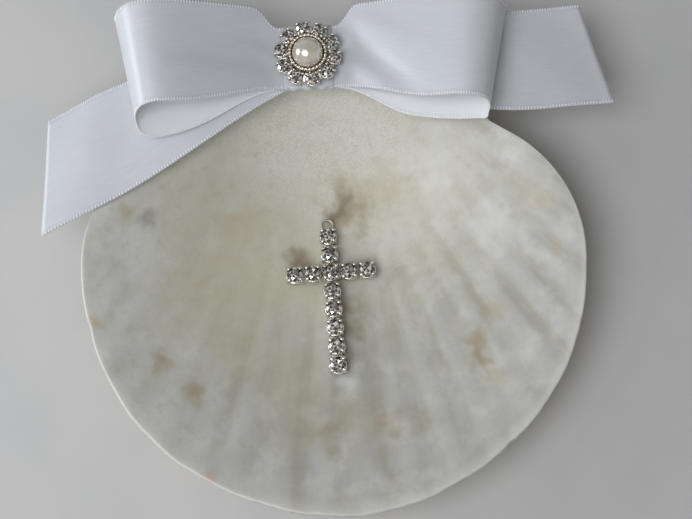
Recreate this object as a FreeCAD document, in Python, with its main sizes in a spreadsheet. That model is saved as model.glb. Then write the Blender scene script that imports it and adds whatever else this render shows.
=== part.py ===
import FreeCAD, Part
import math
import os

import Sketcher
from FreeCAD import Placement, Rotation, Vector

# Baptismal shell: a scallop valve that pours water, with a stone-set cross glued in its bowl and
# a satin ribbon bow with a pearl button glued over its hinge. Millimetres and degrees, +Z up.
# The origin is where the belly of the shell rests, and +Y points at the hinge.

SIZES = {
    # Shell outline, seen from above
    "shell_width": 126.6,
    "shell_length": 119.5,
    "belly_from_hinge": 51,
    "hinge_length": 78,
    "notch_width": 83,
    "notch_from_hinge": 23.5,
    "ear_hollow": 1.2,
    # Shell section: the rays of the fan meet a little behind the hinge line
    "ray_centre_from_hinge": 3,
    "fan_half_angle": 58,
    "bowl_depth": 18,
    "wall_hinge": 3,
    "wall_margin": 1.6,
    "rib_angle": 5.5,
    "rib_relief": 1,
    "flute_relief": 0.45,
    "rest_depth": 0.4,
    # Cut of the stones, as shares of a stone's width
    "table_share": 0.55,
    "crown_share": 0.18,
    "girdle_share": 0.05,
    "pavilion_share": 0.38,
    "culet_share": 0.12,
    # Cross: four-claw cups on backing strips
    "cross_x": -1,
    "cross_y": -6.8,
    "cross_turn": 1.8,
    "cross_stone_width": 4.2,
    "cross_cup_width": 4.5,
    "cross_cup_height": 1.9,
    "cross_seat_width": 3.6,
    "cross_pitch_down": 4.92,
    "cross_pitch_across": 4.7,
    "cross_strip_width": 2.6,
    "cross_strip_height": 0.6,
    "cross_loop_radius": 1.5,
    "cross_loop_wire": 0.7,
    "cross_glue_film": 0.5,
    # Claws of both settings
    "claw_width": 0.7,
    "claw_thickness": 0.4,
    "claw_reach": 0.5,
    "stone_clearance": 0.04,
    # Button
    "button_width": 16.8,
    "button_plate_height": 0.8,
    "button_ledge_height": 1.7,
    "button_ring_radius": 6.7,
    "button_stone_width": 3.3,
    "button_seat_width": 2.8,
    "pearl_width": 8,
    "pearl_foot_width": 7.5,
    "collar_clearance": 0.15,
    "collar_wall": 0.55,
    "collar_height": 3,
    # Ribbon and bow
    "ribbon_width": 26.5,
    "ribbon_thickness": 0.4,
    "ribbon_gap": 0.1,
    "bow_x": -4.3,
    "bow_from_hinge": 4.6,
    "bow_lift": 0.6,
    "waist_width": 16.4,
    "wrap_width": 14,
    "loop_reach_left": 45.5,
    "loop_reach_right": 47.5,
    "loop_rise": 9.5,
    "loop_sag": 1.9,
    "loop_lift": 5,
    "loop_skew_left": 20,
    "loop_skew_right": 25,
    "loop_turn_left": 0,
    "loop_turn_right": 3.5,
    "loop_drift_left": 6.2,
    "loop_drift_right": 3.2,
    "gather_length_back": 6,
    "gather_length_front": 26,
    "gather_length_under_left": 38,
    "gather_length_under_right": 24,
    "gather_length_tail": 50,
    "tail_reach": 73.6,
    "tail_angle_left": 25.2,
    "tail_angle_right": 1.6,
    "tail_slant_left": 28.6,
    "tail_slant_right": 16.5,
    "tail_bow_left": -0.5,
    "tail_bow_right": 1.9,
    "tail_droop": 0.8,
    # Glue
    "cross_glue_width": 2.2,
    "bow_glue_width": 9.2,
    "button_glue_width": 10,
    "button_glue_height": 0.6,
}

# How many of each, and how finely the free forms are sampled
STONES_ABOVE = 2
STONES_BELOW = 5
STONES_BESIDE = 2
BUTTON_STONES = 10
STONE_SIDES = 8
EAR_STEPS = 1
RADIAL_STEPS = 4
LOOP_STEPS = 32
TAIL_STEPS = 12

doc = FreeCAD.newDocument("baptismal_shell")
sheet = doc.addObject("Spreadsheet::Sheet", "sizes")
for row, (alias, number) in enumerate(SIZES.items(), start=1):
    sheet.set(f"A{row}", alias.replace("_", " "))
    sheet.set(f"B{row}", str(number))
    sheet.setAlias(f"B{row}", alias)
doc.recompute()


def value(expression):
    """The number that an expression on the sheet gives."""
    return float(sheet.evalExpression(expression))


def size(alias):
    return float(sheet.get(alias))


# Sketches and features

def origin_feature(body, role):
    return next(item for item in body.Origin.OriginFeatures if item.Role == role)


def add_sketch(body, name, plane="XY_Plane", height="0"):
    """A sketch on one of the body's own planes, raised by an expression."""
    sketch = body.newObject("Sketcher::SketchObject", name)
    sketch.AttachmentSupport = (origin_feature(body, plane), [""])
    sketch.MapMode = "FlatFace"
    sketch.setExpression("AttachmentOffset.Base.z", height)
    return sketch


def bind(sketch, constraint, expression):
    """Add a dimension whose value is an expression on the sheet."""
    index = sketch.addConstraint(constraint)
    sketch.setExpression(f"Constraints[{index}]", expression)


def bind_point(sketch, geometry, end, x, y):
    bind(sketch, Sketcher.Constraint("DistanceX", -1, 1, geometry, end, value(x)), x)
    bind(sketch, Sketcher.Constraint("DistanceY", -1, 1, geometry, end, value(y)), y)


def draw_outline(sketch, corners):
    """A closed outline of straight lines, with every corner given by two expressions."""
    points = [Vector(value(x), value(y), 0) for x, y in corners]
    first = sketch.GeometryCount
    for index, point in enumerate(points):
        sketch.addGeometry(Part.LineSegment(point, points[(index + 1) % len(points)]))
    for index, (x, y) in enumerate(corners):
        following = first + (index + 1) % len(corners)
        sketch.addConstraint(Sketcher.Constraint("Coincident", first + index, 2, following, 1))
        bind_point(sketch, first + index, 1, x, y)


def draw_circle(sketch, x, y, radius):
    centre = Vector(value(x), value(y), 0)
    circle = sketch.addGeometry(Part.Circle(centre, Vector(0, 0, 1), value(radius)))
    bind_point(sketch, circle, 3, x, y)
    bind(sketch, Sketcher.Constraint("Radius", circle, value(radius)), radius)


def rectangle(left, right, bottom, top):
    return [(left, bottom), (right, bottom), (right, top), (left, top)]


def octagon(across_flats, x="0", y="0"):
    """Corners of an octagon with flat sides towards the axes and the diagonals."""
    half_step = 180 / STONE_SIDES
    corners = []
    for index in range(STONE_SIDES):
        angle = half_step + 2 * half_step * index
        radius = f"({across_flats}) / 2 / cos({half_step})"
        corners.append((f"{x} + {radius} * cos({angle})", f"{y} + {radius} * sin({angle})"))
    return corners


def diagonal_bar(quarter, near, far, width, x="0", y="0"):
    """Corners of a bar that lies on one diagonal of a cup, from near to far of its centre."""
    angle = 45 + 90 * quarter
    ends = [(near, "-1"), (far, "-1"), (far, "1"), (near, "1")]
    corners = []
    for along, side in ends:
        across = f"{side} * ({width}) / 2"
        corners.append((
            f"{x} + ({along}) * cos({angle}) - ({across}) * sin({angle})",
            f"{y} + ({along}) * sin({angle}) + ({across}) * cos({angle})",
        ))
    return corners


def add_feature(body, kind, name, sketch, length=None):
    feature = body.newObject(f"PartDesign::{kind}", name)
    feature.Profile = sketch
    if length:
        feature.setExpression("Length", length)
    sketch.Visibility = False
    return feature


def girdle_height(cup_height, stone_width, seat_width):
    """Height of a stone's girdle above the back of its cup, where its point rests on the seat."""
    slope = "(2 * sizes.pavilion_share / (1 - sizes.culet_share))"
    return f"({cup_height} + ({stone_width} - {seat_width}) / 2 * {slope} + sizes.stone_clearance)"


def add_cup(body, prefix, cup_width, cup_height, stone_width, seat_width, x="0"):
    """A cup with a hollow seat and four claws that bend in over the stone's crown."""
    features = []
    girdle = girdle_height(cup_height, stone_width, seat_width)
    if cup_width:
        block = add_sketch(body, f"{prefix}_block_sketch")
        half = f"{cup_width} / 2"
        draw_outline(block, rectangle(f"-{half}", half, f"-{half}", half))
        features.append(add_feature(body, "Pad", f"{prefix}_block", block, cup_height))

    seat = add_sketch(body, f"{prefix}_seat_sketch", height=cup_height)
    draw_outline(seat, octagon(seat_width, x))
    seat_depth = f"{seat_width} * sizes.pavilion_share"
    features.append(add_feature(body, "Pocket", f"{prefix}_seat", seat, seat_depth))

    posts = add_sketch(body, f"{prefix}_claw_sketch", height=cup_height)
    post_near = f"({stone_width} / 2 + sizes.stone_clearance)"
    post_far = f"({post_near} + sizes.claw_thickness)"
    for quarter in range(4):
        draw_outline(posts, diagonal_bar(quarter, post_near, post_far, "sizes.claw_width", x))
    crown_slope = "(2 * sizes.crown_share / (1 - sizes.table_share))"
    tip_foot = f"({girdle} + sizes.girdle_share * {stone_width} + sizes.claw_reach * {crown_slope})"
    features.append(add_feature(body, "Pad", f"{prefix}_claws", posts, f"{tip_foot} - {cup_height}"))

    tips = add_sketch(body, f"{prefix}_tip_sketch", height=tip_foot)
    tip_near = f"({stone_width} / 2 - sizes.claw_reach + sizes.stone_clearance)"
    for quarter in range(4):
        draw_outline(tips, diagonal_bar(quarter, tip_near, post_far, "sizes.claw_width", x))
    features.append(add_feature(body, "Pad", f"{prefix}_tips", tips, "sizes.claw_thickness"))
    return features


def faceted_solid(outlines):
    """The solid inside flat facets, each given by its corners, turned the right way out."""
    skin = Part.makeShell([Part.Face(Part.makePolygon(corners + corners[:1])) for corners in outlines])
    skin.sewShape()
    solid = Part.makeSolid(skin)
    if solid.Volume < 0:
        solid.reverse()
    return solid


def repeat_along(body, name, features, axis, step, count, reverse):
    pattern = body.newObject("PartDesign::LinearPattern", name)
    pattern.Originals = features
    pattern.Direction = (origin_feature(body, axis), [""])
    pattern.Reversed = reverse
    pattern.Occurrences = count + 1
    pattern.setExpression("Length", f"{step} * {count}")
    body.Tip = pattern
    doc.recompute()


# Scallop shell

hinge_y = size("belly_from_hinge")
ray_centre_y = hinge_y + size("ray_centre_from_hinge")
ray_length = size("shell_length") + size("ray_centre_from_hinge")
belly_share = ray_centre_y / ray_length
half_width = size("shell_width") / 2

# The bowl falls from the hinge to the belly and climbs to the margin as share^rise (1 - share)^FLARE.
FLARE = 1.15
rise_power = FLARE * belly_share / (1 - belly_share)
deepest = belly_share ** rise_power * (1 - belly_share) ** FLARE

# The margin is an ellipse about the fan's middle; its top lies just behind the ray centre.
MARGIN_BEHIND = 2.5
margin_half_length = (ray_length + MARGIN_BEHIND) / 2
margin_centre = margin_half_length - MARGIN_BEHIND


def margin_share(across, down):
    """0 at the ray centre, 1 on the margin, for a point across and down from the ray centre."""
    square = 1 - (margin_centre / margin_half_length) ** 2
    linear = 2 * down * margin_centre / margin_half_length ** 2
    constant = (across / half_width) ** 2 + (down / margin_half_length) ** 2
    return (math.sqrt(linear ** 2 + 4 * square * constant) - linear) / (2 * square)


def fan_fade(across, down):
    """1 along the middle of the fan, falling to 0 at its sides, soft where the ears begin."""
    SOFTNESS = 0.06
    turn = math.degrees(math.atan2(across, down)) / size("fan_half_angle")
    left = 1 - turn ** 2
    return (left + math.sqrt(left ** 2 + SOFTNESS ** 2)) / 2


def wave(across, down):
    """The rib wave, 1 on a crest and -1 in a valley, with its swell from the ray centre out."""
    angle = math.degrees(math.atan2(across, down))
    swell = math.hypot(across, down) / ray_length * min(1, 2 * fan_fade(across, down))
    return swell * math.cos(2 * math.pi * angle / size("rib_angle"))


def wall(across, down):
    share = math.hypot(across, down) / ray_length
    return size("wall_hinge") + (size("wall_margin") - size("wall_hinge")) * share


def depth(across, down):
    share = margin_share(across, down)
    below = abs(1 - share) ** FLARE * math.copysign(1, 1 - share)
    return size("bowl_depth") * share ** rise_power * below / deepest * fan_fade(across, down)


belly_rib = size("rib_relief") / 2 * belly_share
rim_z = size("bowl_depth") + wall(0, ray_centre_y) + belly_rib - size("rest_depth")


def inner_z(x, y):
    """Height of the smooth inside of the bowl, without its flutes."""
    return rim_z - depth(x, ray_centre_y - y)


def inner_point(x, y):
    down = ray_centre_y - y
    return Vector(x, y, inner_z(x, y) - size("flute_relief") / 2 * wave(x, down))


def outer_point(x, y):
    down = ray_centre_y - y
    return Vector(x, y, inner_z(x, y) - wall(x, down) - size("rib_relief") / 2 * wave(x, down))


def ray_angles():
    """Angles of the rays from one ear to the other, on each crest and valley and wider on the ears."""
    EAR_ANGLE = 88
    step = size("rib_angle") / 2
    half = [step * index for index in range(math.ceil(size("fan_half_angle") / step) + 1)]
    ear_step = (EAR_ANGLE - half[-1]) / EAR_STEPS
    half += [half[-1] + ear_step * (index + 1) for index in range(EAR_STEPS)]
    return [-angle for angle in reversed(half[1:])] + half


def ray_end(angle):
    """Where a ray leaves an ellipse that is a little larger than the whole shell."""
    BEYOND = 1.05
    half_across = max(half_width, size("hinge_length") / 2) * BEYOND
    behind = size("hinge_length") / 3
    half_down = (ray_length * BEYOND + behind) / 2
    centre = half_down - behind
    square = (math.sin(angle) / half_across) ** 2 + (math.cos(angle) / half_down) ** 2
    linear = math.cos(angle) * centre / half_down ** 2
    constant = (centre / half_down) ** 2 - 1
    return (linear + math.sqrt(linear ** 2 - square * constant)) / square


def ray_curve(point, angle):
    """The curve of one face of the shell along one ray."""
    START_SHARE = 0.7
    CROWDING = 1.4
    start = size("ray_centre_from_hinge") * START_SHARE
    shares = [(step / RADIAL_STEPS) ** CROWDING for step in range(RADIAL_STEPS + 1)]
    radii = [start + (ray_end(angle) - start) * share for share in shares]
    points = [point(radius * math.sin(angle), ray_centre_y - radius * math.cos(angle)) for radius in radii]
    curve = Part.BSplineCurve()
    curve.interpolate(Points=points, Parameters=shares)
    return curve


def fan_solid(upper, lower):
    """The space between two faces of the fan, in strips that run straight from ray to ray."""
    sections = []
    for angle in map(math.radians, ray_angles()):
        top = ray_curve(upper, angle)
        bottom = ray_curve(lower, angle)
        margin = Part.makeLine(top.EndPoint, bottom.EndPoint)
        beak = Part.makeLine(bottom.StartPoint, top.StartPoint)
        sections.append(Part.Wire([top.toShape(), margin, bottom.toShape(), beak]))
    return Part.makeLoft(sections, True, True)


def draw_shell_outline(sketch):
    """Far margin and shoulders as arcs, ears with hollow sides, and a straight hinge line."""
    radius = "(sizes.shell_width / 2)"
    centre_y = f"(sizes.belly_from_hinge - sizes.shell_length + {radius})"
    notch_x = "(sizes.notch_width / 2)"
    notch_y = "(sizes.belly_from_hinge - sizes.notch_from_hinge)"
    hinge_x = "(sizes.hinge_length / 2)"
    run = f"({radius} - {notch_x})"
    climb = f"({notch_y} - {centre_y})"
    shoulder = f"(({run} * {run} + {climb} * {climb}) / 2 / {run})"
    side_square = f"(({notch_x} - {hinge_x})^2 + sizes.notch_from_hinge^2)"
    side = f"(({side_square} / 4 + sizes.ear_hollow^2) / 2 / sizes.ear_hollow)"

    centre = Vector(0, value(centre_y), 0)
    right_end = centre + Vector(value(radius), 0, 0)
    far_end = centre - Vector(0, value(radius), 0)
    notch = Vector(value(notch_x), value(notch_y), 0)
    corner = Vector(value(hinge_x), hinge_y, 0)
    shoulder_centre = right_end - Vector(value(shoulder), 0, 0)
    half_turn = math.atan2(notch.y - centre.y, notch.x - shoulder_centre.x) / 2
    bulge = shoulder_centre + Vector(math.cos(half_turn), math.sin(half_turn), 0) * value(shoulder)
    hollow = (notch + corner) / 2 - Vector(size("ear_hollow"), 0, 0)

    def flip(point):
        return Vector(-point.x, point.y, 0)

    def add_arc(start, middle, end):
        return sketch.addGeometry(Part.Arc(start, middle, end))

    margin = add_arc(flip(right_end), far_end, right_end)
    shoulder_right = add_arc(right_end, bulge, notch)
    side_right = add_arc(corner, hollow, notch)
    hinge = sketch.addGeometry(Part.LineSegment(corner, flip(corner)))
    side_left = add_arc(flip(notch), flip(hollow), flip(corner))
    shoulder_left = add_arc(flip(notch), flip(bulge), flip(right_end))

    joins = [
        (margin, 2, shoulder_right, 1), (shoulder_right, 2, side_right, 2),
        (side_right, 1, hinge, 1), (hinge, 2, side_left, 2),
        (side_left, 1, shoulder_left, 1), (shoulder_left, 2, margin, 1),
    ]
    for join in joins:
        sketch.addConstraint(Sketcher.Constraint("Coincident", *join))
    bind_point(sketch, margin, 3, "0", centre_y)
    for end in (1, 2):
        bind(sketch, Sketcher.Constraint("DistanceY", -1, 1, margin, end, value(centre_y)), centre_y)
    bind(sketch, Sketcher.Constraint("Radius", margin, value(radius)), radius)
    bind_point(sketch, hinge, 1, hinge_x, "sizes.belly_from_hinge")
    bind_point(sketch, hinge, 2, f"-{hinge_x}", "sizes.belly_from_hinge")
    bind_point(sketch, shoulder_right, 2, notch_x, notch_y)
    bind_point(sketch, shoulder_left, 1, f"-{notch_x}", notch_y)
    for arc, bend in ((shoulder_right, shoulder), (shoulder_left, shoulder),
                      (side_right, side), (side_left, side)):
        bind(sketch, Sketcher.Constraint("Radius", arc, value(bend)), bend)


shell_blank = doc.addObject("Part::Feature", "shell_blank")
shell_blank.Shape = fan_solid(inner_point, outer_point)

shell_outline = doc.addObject("PartDesign::Body", "shell_outline")
outline_sketch = add_sketch(shell_outline, "shell_outline_sketch")
draw_shell_outline(outline_sketch)
add_feature(shell_outline, "Pad", "shell_outline_pad", outline_sketch,
            "2 * (sizes.bowl_depth + sizes.wall_hinge)")

# The outline starts at the ground, so it also wears the lowest rib crests flat.
shell = doc.addObject("Part::Common", "scallop_shell")
shell.Base = shell_blank
shell.Tool = shell_outline

# All that lies below the inside of the bowl, to shape the undersides of the glue
bowl_fill = doc.addObject("Part::Feature", "bowl_fill")
bowl_fill.Shape = fan_solid(inner_point, lambda x, y: Vector(x, y, -rim_z))


# Stones

def stone_ring(width, height):
    """The corners of a stone at one height, with flat sides towards the axes and the diagonals."""
    step = 2 * math.pi / STONE_SIDES
    radius = width / 2 / math.cos(step / 2)
    angles = [step * (index + 0.5) for index in range(STONE_SIDES)]
    return [Vector(radius * math.cos(angle), radius * math.sin(angle), height) for angle in angles]


def add_stone_cut(name, width):
    """A stone of flat facets: a table, a sloping crown, a thin girdle and a pointed pavilion."""
    crown_top = size("girdle_share") + size("crown_share")
    levels = [(size("culet_share"), -size("pavilion_share")), (1, 0), (1, size("girdle_share")),
              (size("table_share"), crown_top)]
    rings = [stone_ring(share * width, height * width) for share, height in levels]
    outlines = [rings[0], rings[-1]]
    for low, high in zip(rings, rings[1:]):
        for index in range(STONE_SIDES):
            following = (index + 1) % STONE_SIDES
            outlines.append([low[index], low[following], high[following], high[index]])
    cut = doc.addObject("Part::Feature", name)
    cut.Shape = faceted_solid(outlines)
    return cut


def add_stone(cut, label, placement):
    stone = doc.addObject("App::Link", label)
    stone.LinkedObject = cut
    stone.Placement = placement
    return stone


# Cross

def cross_rest():
    """Placement of the flat back of the cross, a film of glue above the highest bowl under it."""
    half_cup = size("cross_cup_width") / 2
    top = STONES_ABOVE * size("cross_pitch_down") + half_cup
    bottom = -STONES_BELOW * size("cross_pitch_down") - half_cup
    side = STONES_BESIDE * size("cross_pitch_across") + half_cup
    turn = Rotation(Vector(0, 0, 1), size("cross_turn"))
    middle = Vector(size("cross_x"), size("cross_y"), 0)

    def bowl_under(across, along):
        point = middle + turn.multVec(Vector(across, along, 0))
        return inner_z(point.x, point.y) + size("flute_relief") / 2

    slope = (bowl_under(0, top) - bowl_under(0, bottom)) / (top - bottom)
    footprint = [(across, along) for across in (-half_cup, 0, half_cup) for along in (bottom, 0, top)]
    footprint += [(-side, -half_cup), (-side, half_cup), (side, -half_cup), (side, half_cup)]
    lift = max(bowl_under(across, along) - slope * along for across, along in footprint)
    tilt = Rotation(Vector(1, 0, 0), math.degrees(math.atan(slope)))
    return Placement(middle + Vector(0, 0, lift + size("cross_glue_film")), turn * tilt)


cross_place = cross_rest()
cross_setting = doc.addObject("PartDesign::Body", "cross_setting")
half_strip = "sizes.cross_strip_width / 2"
half_arm = f"{STONES_BESIDE} * sizes.cross_pitch_across"
upright_top = f"{STONES_ABOVE} * sizes.cross_pitch_down + sizes.cross_cup_width / 2"
upright_foot = f"-{STONES_BELOW} * sizes.cross_pitch_down"
upright_sketch = add_sketch(cross_setting, "cross_upright_sketch")
draw_outline(upright_sketch, rectangle(f"-{half_strip}", half_strip, upright_foot, upright_top))
add_feature(cross_setting, "Pad", "cross_upright", upright_sketch, "sizes.cross_strip_height")
arm_sketch = add_sketch(cross_setting, "cross_arm_sketch")
draw_outline(arm_sketch, rectangle(f"-{half_arm}", half_arm, f"-{half_strip}", half_strip))
add_feature(cross_setting, "Pad", "cross_arm", arm_sketch, "sizes.cross_strip_height")
loop_sketch = add_sketch(cross_setting, "cross_loop_sketch")
loop_y = f"{upright_top} + sizes.cross_loop_radius"
draw_circle(loop_sketch, "0", loop_y, "sizes.cross_loop_radius + sizes.cross_loop_wire / 2")
draw_circle(loop_sketch, "0", loop_y, "sizes.cross_loop_radius - sizes.cross_loop_wire / 2")
add_feature(cross_setting, "Pad", "cross_loop", loop_sketch, "sizes.cross_loop_wire")
cross_cup = add_cup(cross_setting, "cross_cup", "sizes.cross_cup_width", "sizes.cross_cup_height",
                    "sizes.cross_stone_width", "sizes.cross_seat_width")
down = "sizes.cross_pitch_down"
across = "sizes.cross_pitch_across"
repeat_along(cross_setting, "cups_above", cross_cup, "Y_Axis", down, STONES_ABOVE, False)
repeat_along(cross_setting, "cups_below", cross_cup, "Y_Axis", down, STONES_BELOW, True)
repeat_along(cross_setting, "cups_right", cross_cup, "X_Axis", across, STONES_BESIDE, False)
repeat_along(cross_setting, "cups_left", cross_cup, "X_Axis", across, STONES_BESIDE, True)
cross_setting.Placement = cross_place

cross_cut = add_stone_cut("cross_stone_cut", size("cross_stone_width"))
cross_girdle = value(girdle_height("sizes.cross_cup_height", "sizes.cross_stone_width",
                                   "sizes.cross_seat_width"))
cross_cells = [(0, row) for row in range(STONES_ABOVE, -STONES_BELOW - 1, -1)]
cross_cells += [(column, 0) for column in range(-STONES_BESIDE, STONES_BESIDE + 1) if column]
cross_stones = []
for index, (column, row) in enumerate(cross_cells, start=1):
    seat = Vector(column * size("cross_pitch_across"), row * size("cross_pitch_down"), cross_girdle)
    place = cross_place * Placement(seat, Rotation())
    cross_stones.append(add_stone(cross_cut, f"cross_stone_{index:02d}", place))

# The glue bed runs under the upright, down to the bowl.
glue_length = f"({STONES_ABOVE} + {STONES_BELOW}) * sizes.cross_pitch_down"
glue_bar = doc.addObject("Part::Box", "cross_glue_bar")
glue_bar.setExpression("Length", "sizes.cross_glue_width")
glue_bar.setExpression("Width", glue_length)
glue_bar.setExpression("Height", "sizes.bowl_depth")
glue_corner = Vector(-size("cross_glue_width") / 2, value(upright_foot), -size("bowl_depth"))
glue_bar.Placement = cross_place * Placement(glue_corner, Rotation())
cross_glue = doc.addObject("Part::Cut", "cross_glue")
cross_glue.Base = glue_bar
cross_glue.Tool = bowl_fill


# Ribbon bow: the wrap holds the tails, then the lower and the upper layer of the loops.

thickness = size("ribbon_thickness")
layer = thickness + size("ribbon_gap")
bow_y = hinge_y - size("bow_from_hinge")
wrap_z = rim_z + size("bow_lift")
tail_z = wrap_z + layer + thickness / 2
loop_low_z = tail_z + layer
loop_high_z = loop_low_z + layer
wrap_height = "(5 * sizes.ribbon_thickness + 4 * sizes.ribbon_gap)"
wrap_top_z = wrap_z + value(wrap_height)
WRAP_MARGIN = 0.5
flat_half = size("wrap_width") / 2 + WRAP_MARGIN

bow_wrap = doc.addObject("PartDesign::Body", "bow_wrap")
wrap_sketch = add_sketch(bow_wrap, "bow_wrap_sketch", "YZ_Plane", "-sizes.wrap_width / 2")
thick = "sizes.ribbon_thickness"
wrap_side = f"(sizes.waist_width / 2 + sizes.ribbon_gap + {thick})"
draw_outline(wrap_sketch, [
    (f"-{wrap_side} + {thick}", "0"), (f"{wrap_side} - {thick}", "0"),
    (wrap_side, thick), (wrap_side, f"{wrap_height} - {thick}"),
    (f"{wrap_side} - {thick}", wrap_height), (f"-{wrap_side} + {thick}", wrap_height),
    (f"-{wrap_side}", f"{wrap_height} - {thick}"), (f"-{wrap_side}", thick),
])
draw_outline(wrap_sketch, rectangle(f"-{wrap_side} + {thick}", f"{wrap_side} - {thick}",
                                    thick, f"{wrap_height} - {thick}"))
add_feature(bow_wrap, "Pad", "bow_wrap_pad", wrap_sketch, "sizes.wrap_width")
bow_wrap.Placement.Base = Vector(size("bow_x"), bow_y, wrap_z)


def gathered_width(along, gather):
    """Width of the ribbon, drawn in where the wrap gathers it."""
    share = min(1, max(0, (along - flat_half) / gather))
    swell = share ** 2 * (3 - 2 * share)
    return size("waist_width") + (size("ribbon_width") - size("waist_width")) * swell


def ribbon_solid(stations):
    """A thin ribbon of flat facets through stations: a middle point, a vector across and a width."""
    middles = [middle for middle, across, width in stations]
    sections = []
    for index, (middle, across, width) in enumerate(stations):
        before = middles[max(index - 1, 0)]
        after = middles[min(index + 1, len(middles) - 1)]
        up = across.cross(after - before).normalize() * (thickness / 2)
        edge = across * (width / 2)
        sections.append([middle - edge - up, middle + edge - up, middle + edge + up, middle - edge + up])
    outlines = [sections[0], sections[-1]]
    for near, far in zip(sections, sections[1:]):
        for corner in range(4):
            following = (corner + 1) % 4
            outlines.append([near[corner], near[following], far[following]])
            outlines.append([near[corner], far[following], far[corner]])
    return faceted_solid(outlines)


def loop_middle(turn, side, reach, heading, drift):
    """The middle of a loop, from 0 on the upper layer at the wrap round the fold to 1 on the lower."""
    PEAK = 0.8625
    LIFT_POWER = 1.5
    out = math.sin(math.pi * turn)
    along = flat_half + (reach - flat_half) * out
    swing = math.sin(2 * math.pi * turn) * math.sqrt(abs(out)) / PEAK
    swing *= size("loop_rise") if turn < 0.5 else size("loop_sag")
    middle_z = (loop_high_z + loop_low_z) / 2 + layer / 2 * math.cos(math.pi * turn)
    aside = -math.sin(math.radians(heading)) * (along - flat_half)
    aside -= drift * math.sin(math.pi * turn ** 2) ** 2
    height = middle_z + size("loop_lift") * abs(out) ** LIFT_POWER + swing
    return Vector(size("bow_x") + side * along, bow_y + aside, height)


def loop_station(turn, side, reach, skew, heading, drift, gather_under):
    """A place on a loop, wider across where the ribbon runs round the fold at a slant.

    The upper layer opens out from the wrap sooner at its back edge than at its front edge.
    """
    NUDGE = 0.01
    STEEPEST = 0.88
    out = math.sin(math.pi * turn)
    lean = math.radians(skew) * turn * min(1, 2 * abs(out))
    across = Vector(side * math.sin(lean), math.cos(lean), 0)
    before, middle, after = [loop_middle(turn + step, side, reach, heading, drift)
                             for step in (-NUDGE, 0, NUDGE)]
    slant = max(across.cross((after - before).normalize()).Length, STEEPEST)
    along = flat_half + (reach - flat_half) * out
    upper = turn < 0.5
    back = gathered_width(along, size("gather_length_back") if upper else gather_under) / 2 / slant
    front = gathered_width(along, size("gather_length_front") if upper else gather_under) / 2 / slant
    return middle + across * ((back - front) / 2), across, back + front


def loop_stations(side, name):
    shape = [size(f"loop_{part}_{name}") for part in ("reach", "skew", "turn", "drift")]
    shape.append(size(f"gather_length_under_{name}"))
    return [loop_station(index / LOOP_STEPS, side, *shape) for index in range(LOOP_STEPS + 1)]


def waist_station(along, z):
    return Vector(size("bow_x") + along, bow_y, z), Vector(0, 1, 0), size("waist_width")


left_loop = loop_stations(-1, "left")
right_loop = loop_stations(1, "right")
END_GAP = 0.3
bow_loops = doc.addObject("Part::Feature", "bow_loops")
bow_loops.Shape = ribbon_solid(
    [waist_station(-END_GAP, loop_low_z)] + left_loop[::-1] + [waist_station(0, loop_high_z)]
    + right_loop + [waist_station(END_GAP, loop_low_z)])


def tail_stations(side, angle, slant, bow):
    """Half of the tails, from the wrap out to the slanted end."""
    turn = math.radians(angle)
    away = Vector(side * math.cos(turn), -math.sin(turn), 0)
    square = Vector(side * math.sin(turn), math.cos(turn), 0)
    start = Vector(size("bow_x") + side * flat_half, bow_y, tail_z)
    free = size("tail_reach") - flat_half
    stations = [waist_station(side * flat_half, tail_z)]
    for index in range(1, TAIL_STEPS + 1):
        share = index / TAIL_STEPS
        middle = start + away * (free * share) - square * (bow * math.sin(math.pi * share))
        middle.z -= size("tail_droop") * share ** 2
        across = square - away * (math.tan(math.radians(slant)) * share ** 2)
        width = gathered_width(flat_half + free * share, size("gather_length_tail"))
        stations.append((middle, across, width))
    return stations


left_tail = tail_stations(-1, *[size(f"tail_{part}_left") for part in ("angle", "slant", "bow")])
right_tail = tail_stations(1, *[size(f"tail_{part}_right") for part in ("angle", "slant", "bow")])
bow_tails = doc.addObject("Part::Feature", "bow_tails")
bow_tails.Shape = ribbon_solid(left_tail[::-1] + [waist_station(0, tail_z)] + right_tail)

# The glue mound fills the beak of the shell up to the wrap.
bow_glue_post = doc.addObject("Part::Box", "bow_glue_post")
bow_glue_post.setExpression("Length", "sizes.bow_glue_width")
bow_glue_post.setExpression("Width", "sizes.bow_glue_width")
bow_glue_post.setExpression("Height", "sizes.bowl_depth")
bow_glue_half = size("bow_glue_width") / 2
bow_glue_corner = Vector(size("bow_x") - bow_glue_half, bow_y - bow_glue_half, wrap_z - size("bowl_depth"))
bow_glue_post.Placement.Base = bow_glue_corner
bow_glue = doc.addObject("Part::Cut", "bow_glue")
bow_glue.Base = bow_glue_post
bow_glue.Tool = bowl_fill


# Button

FIRST_STONE_ANGLE = 98
button_glue = doc.addObject("Part::Cylinder", "button_glue")
button_glue.setExpression("Radius", "sizes.button_glue_width / 2")
button_glue.setExpression("Height", "sizes.button_glue_height")
button_glue.Placement.Base = Vector(size("bow_x"), bow_y, wrap_top_z)

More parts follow.
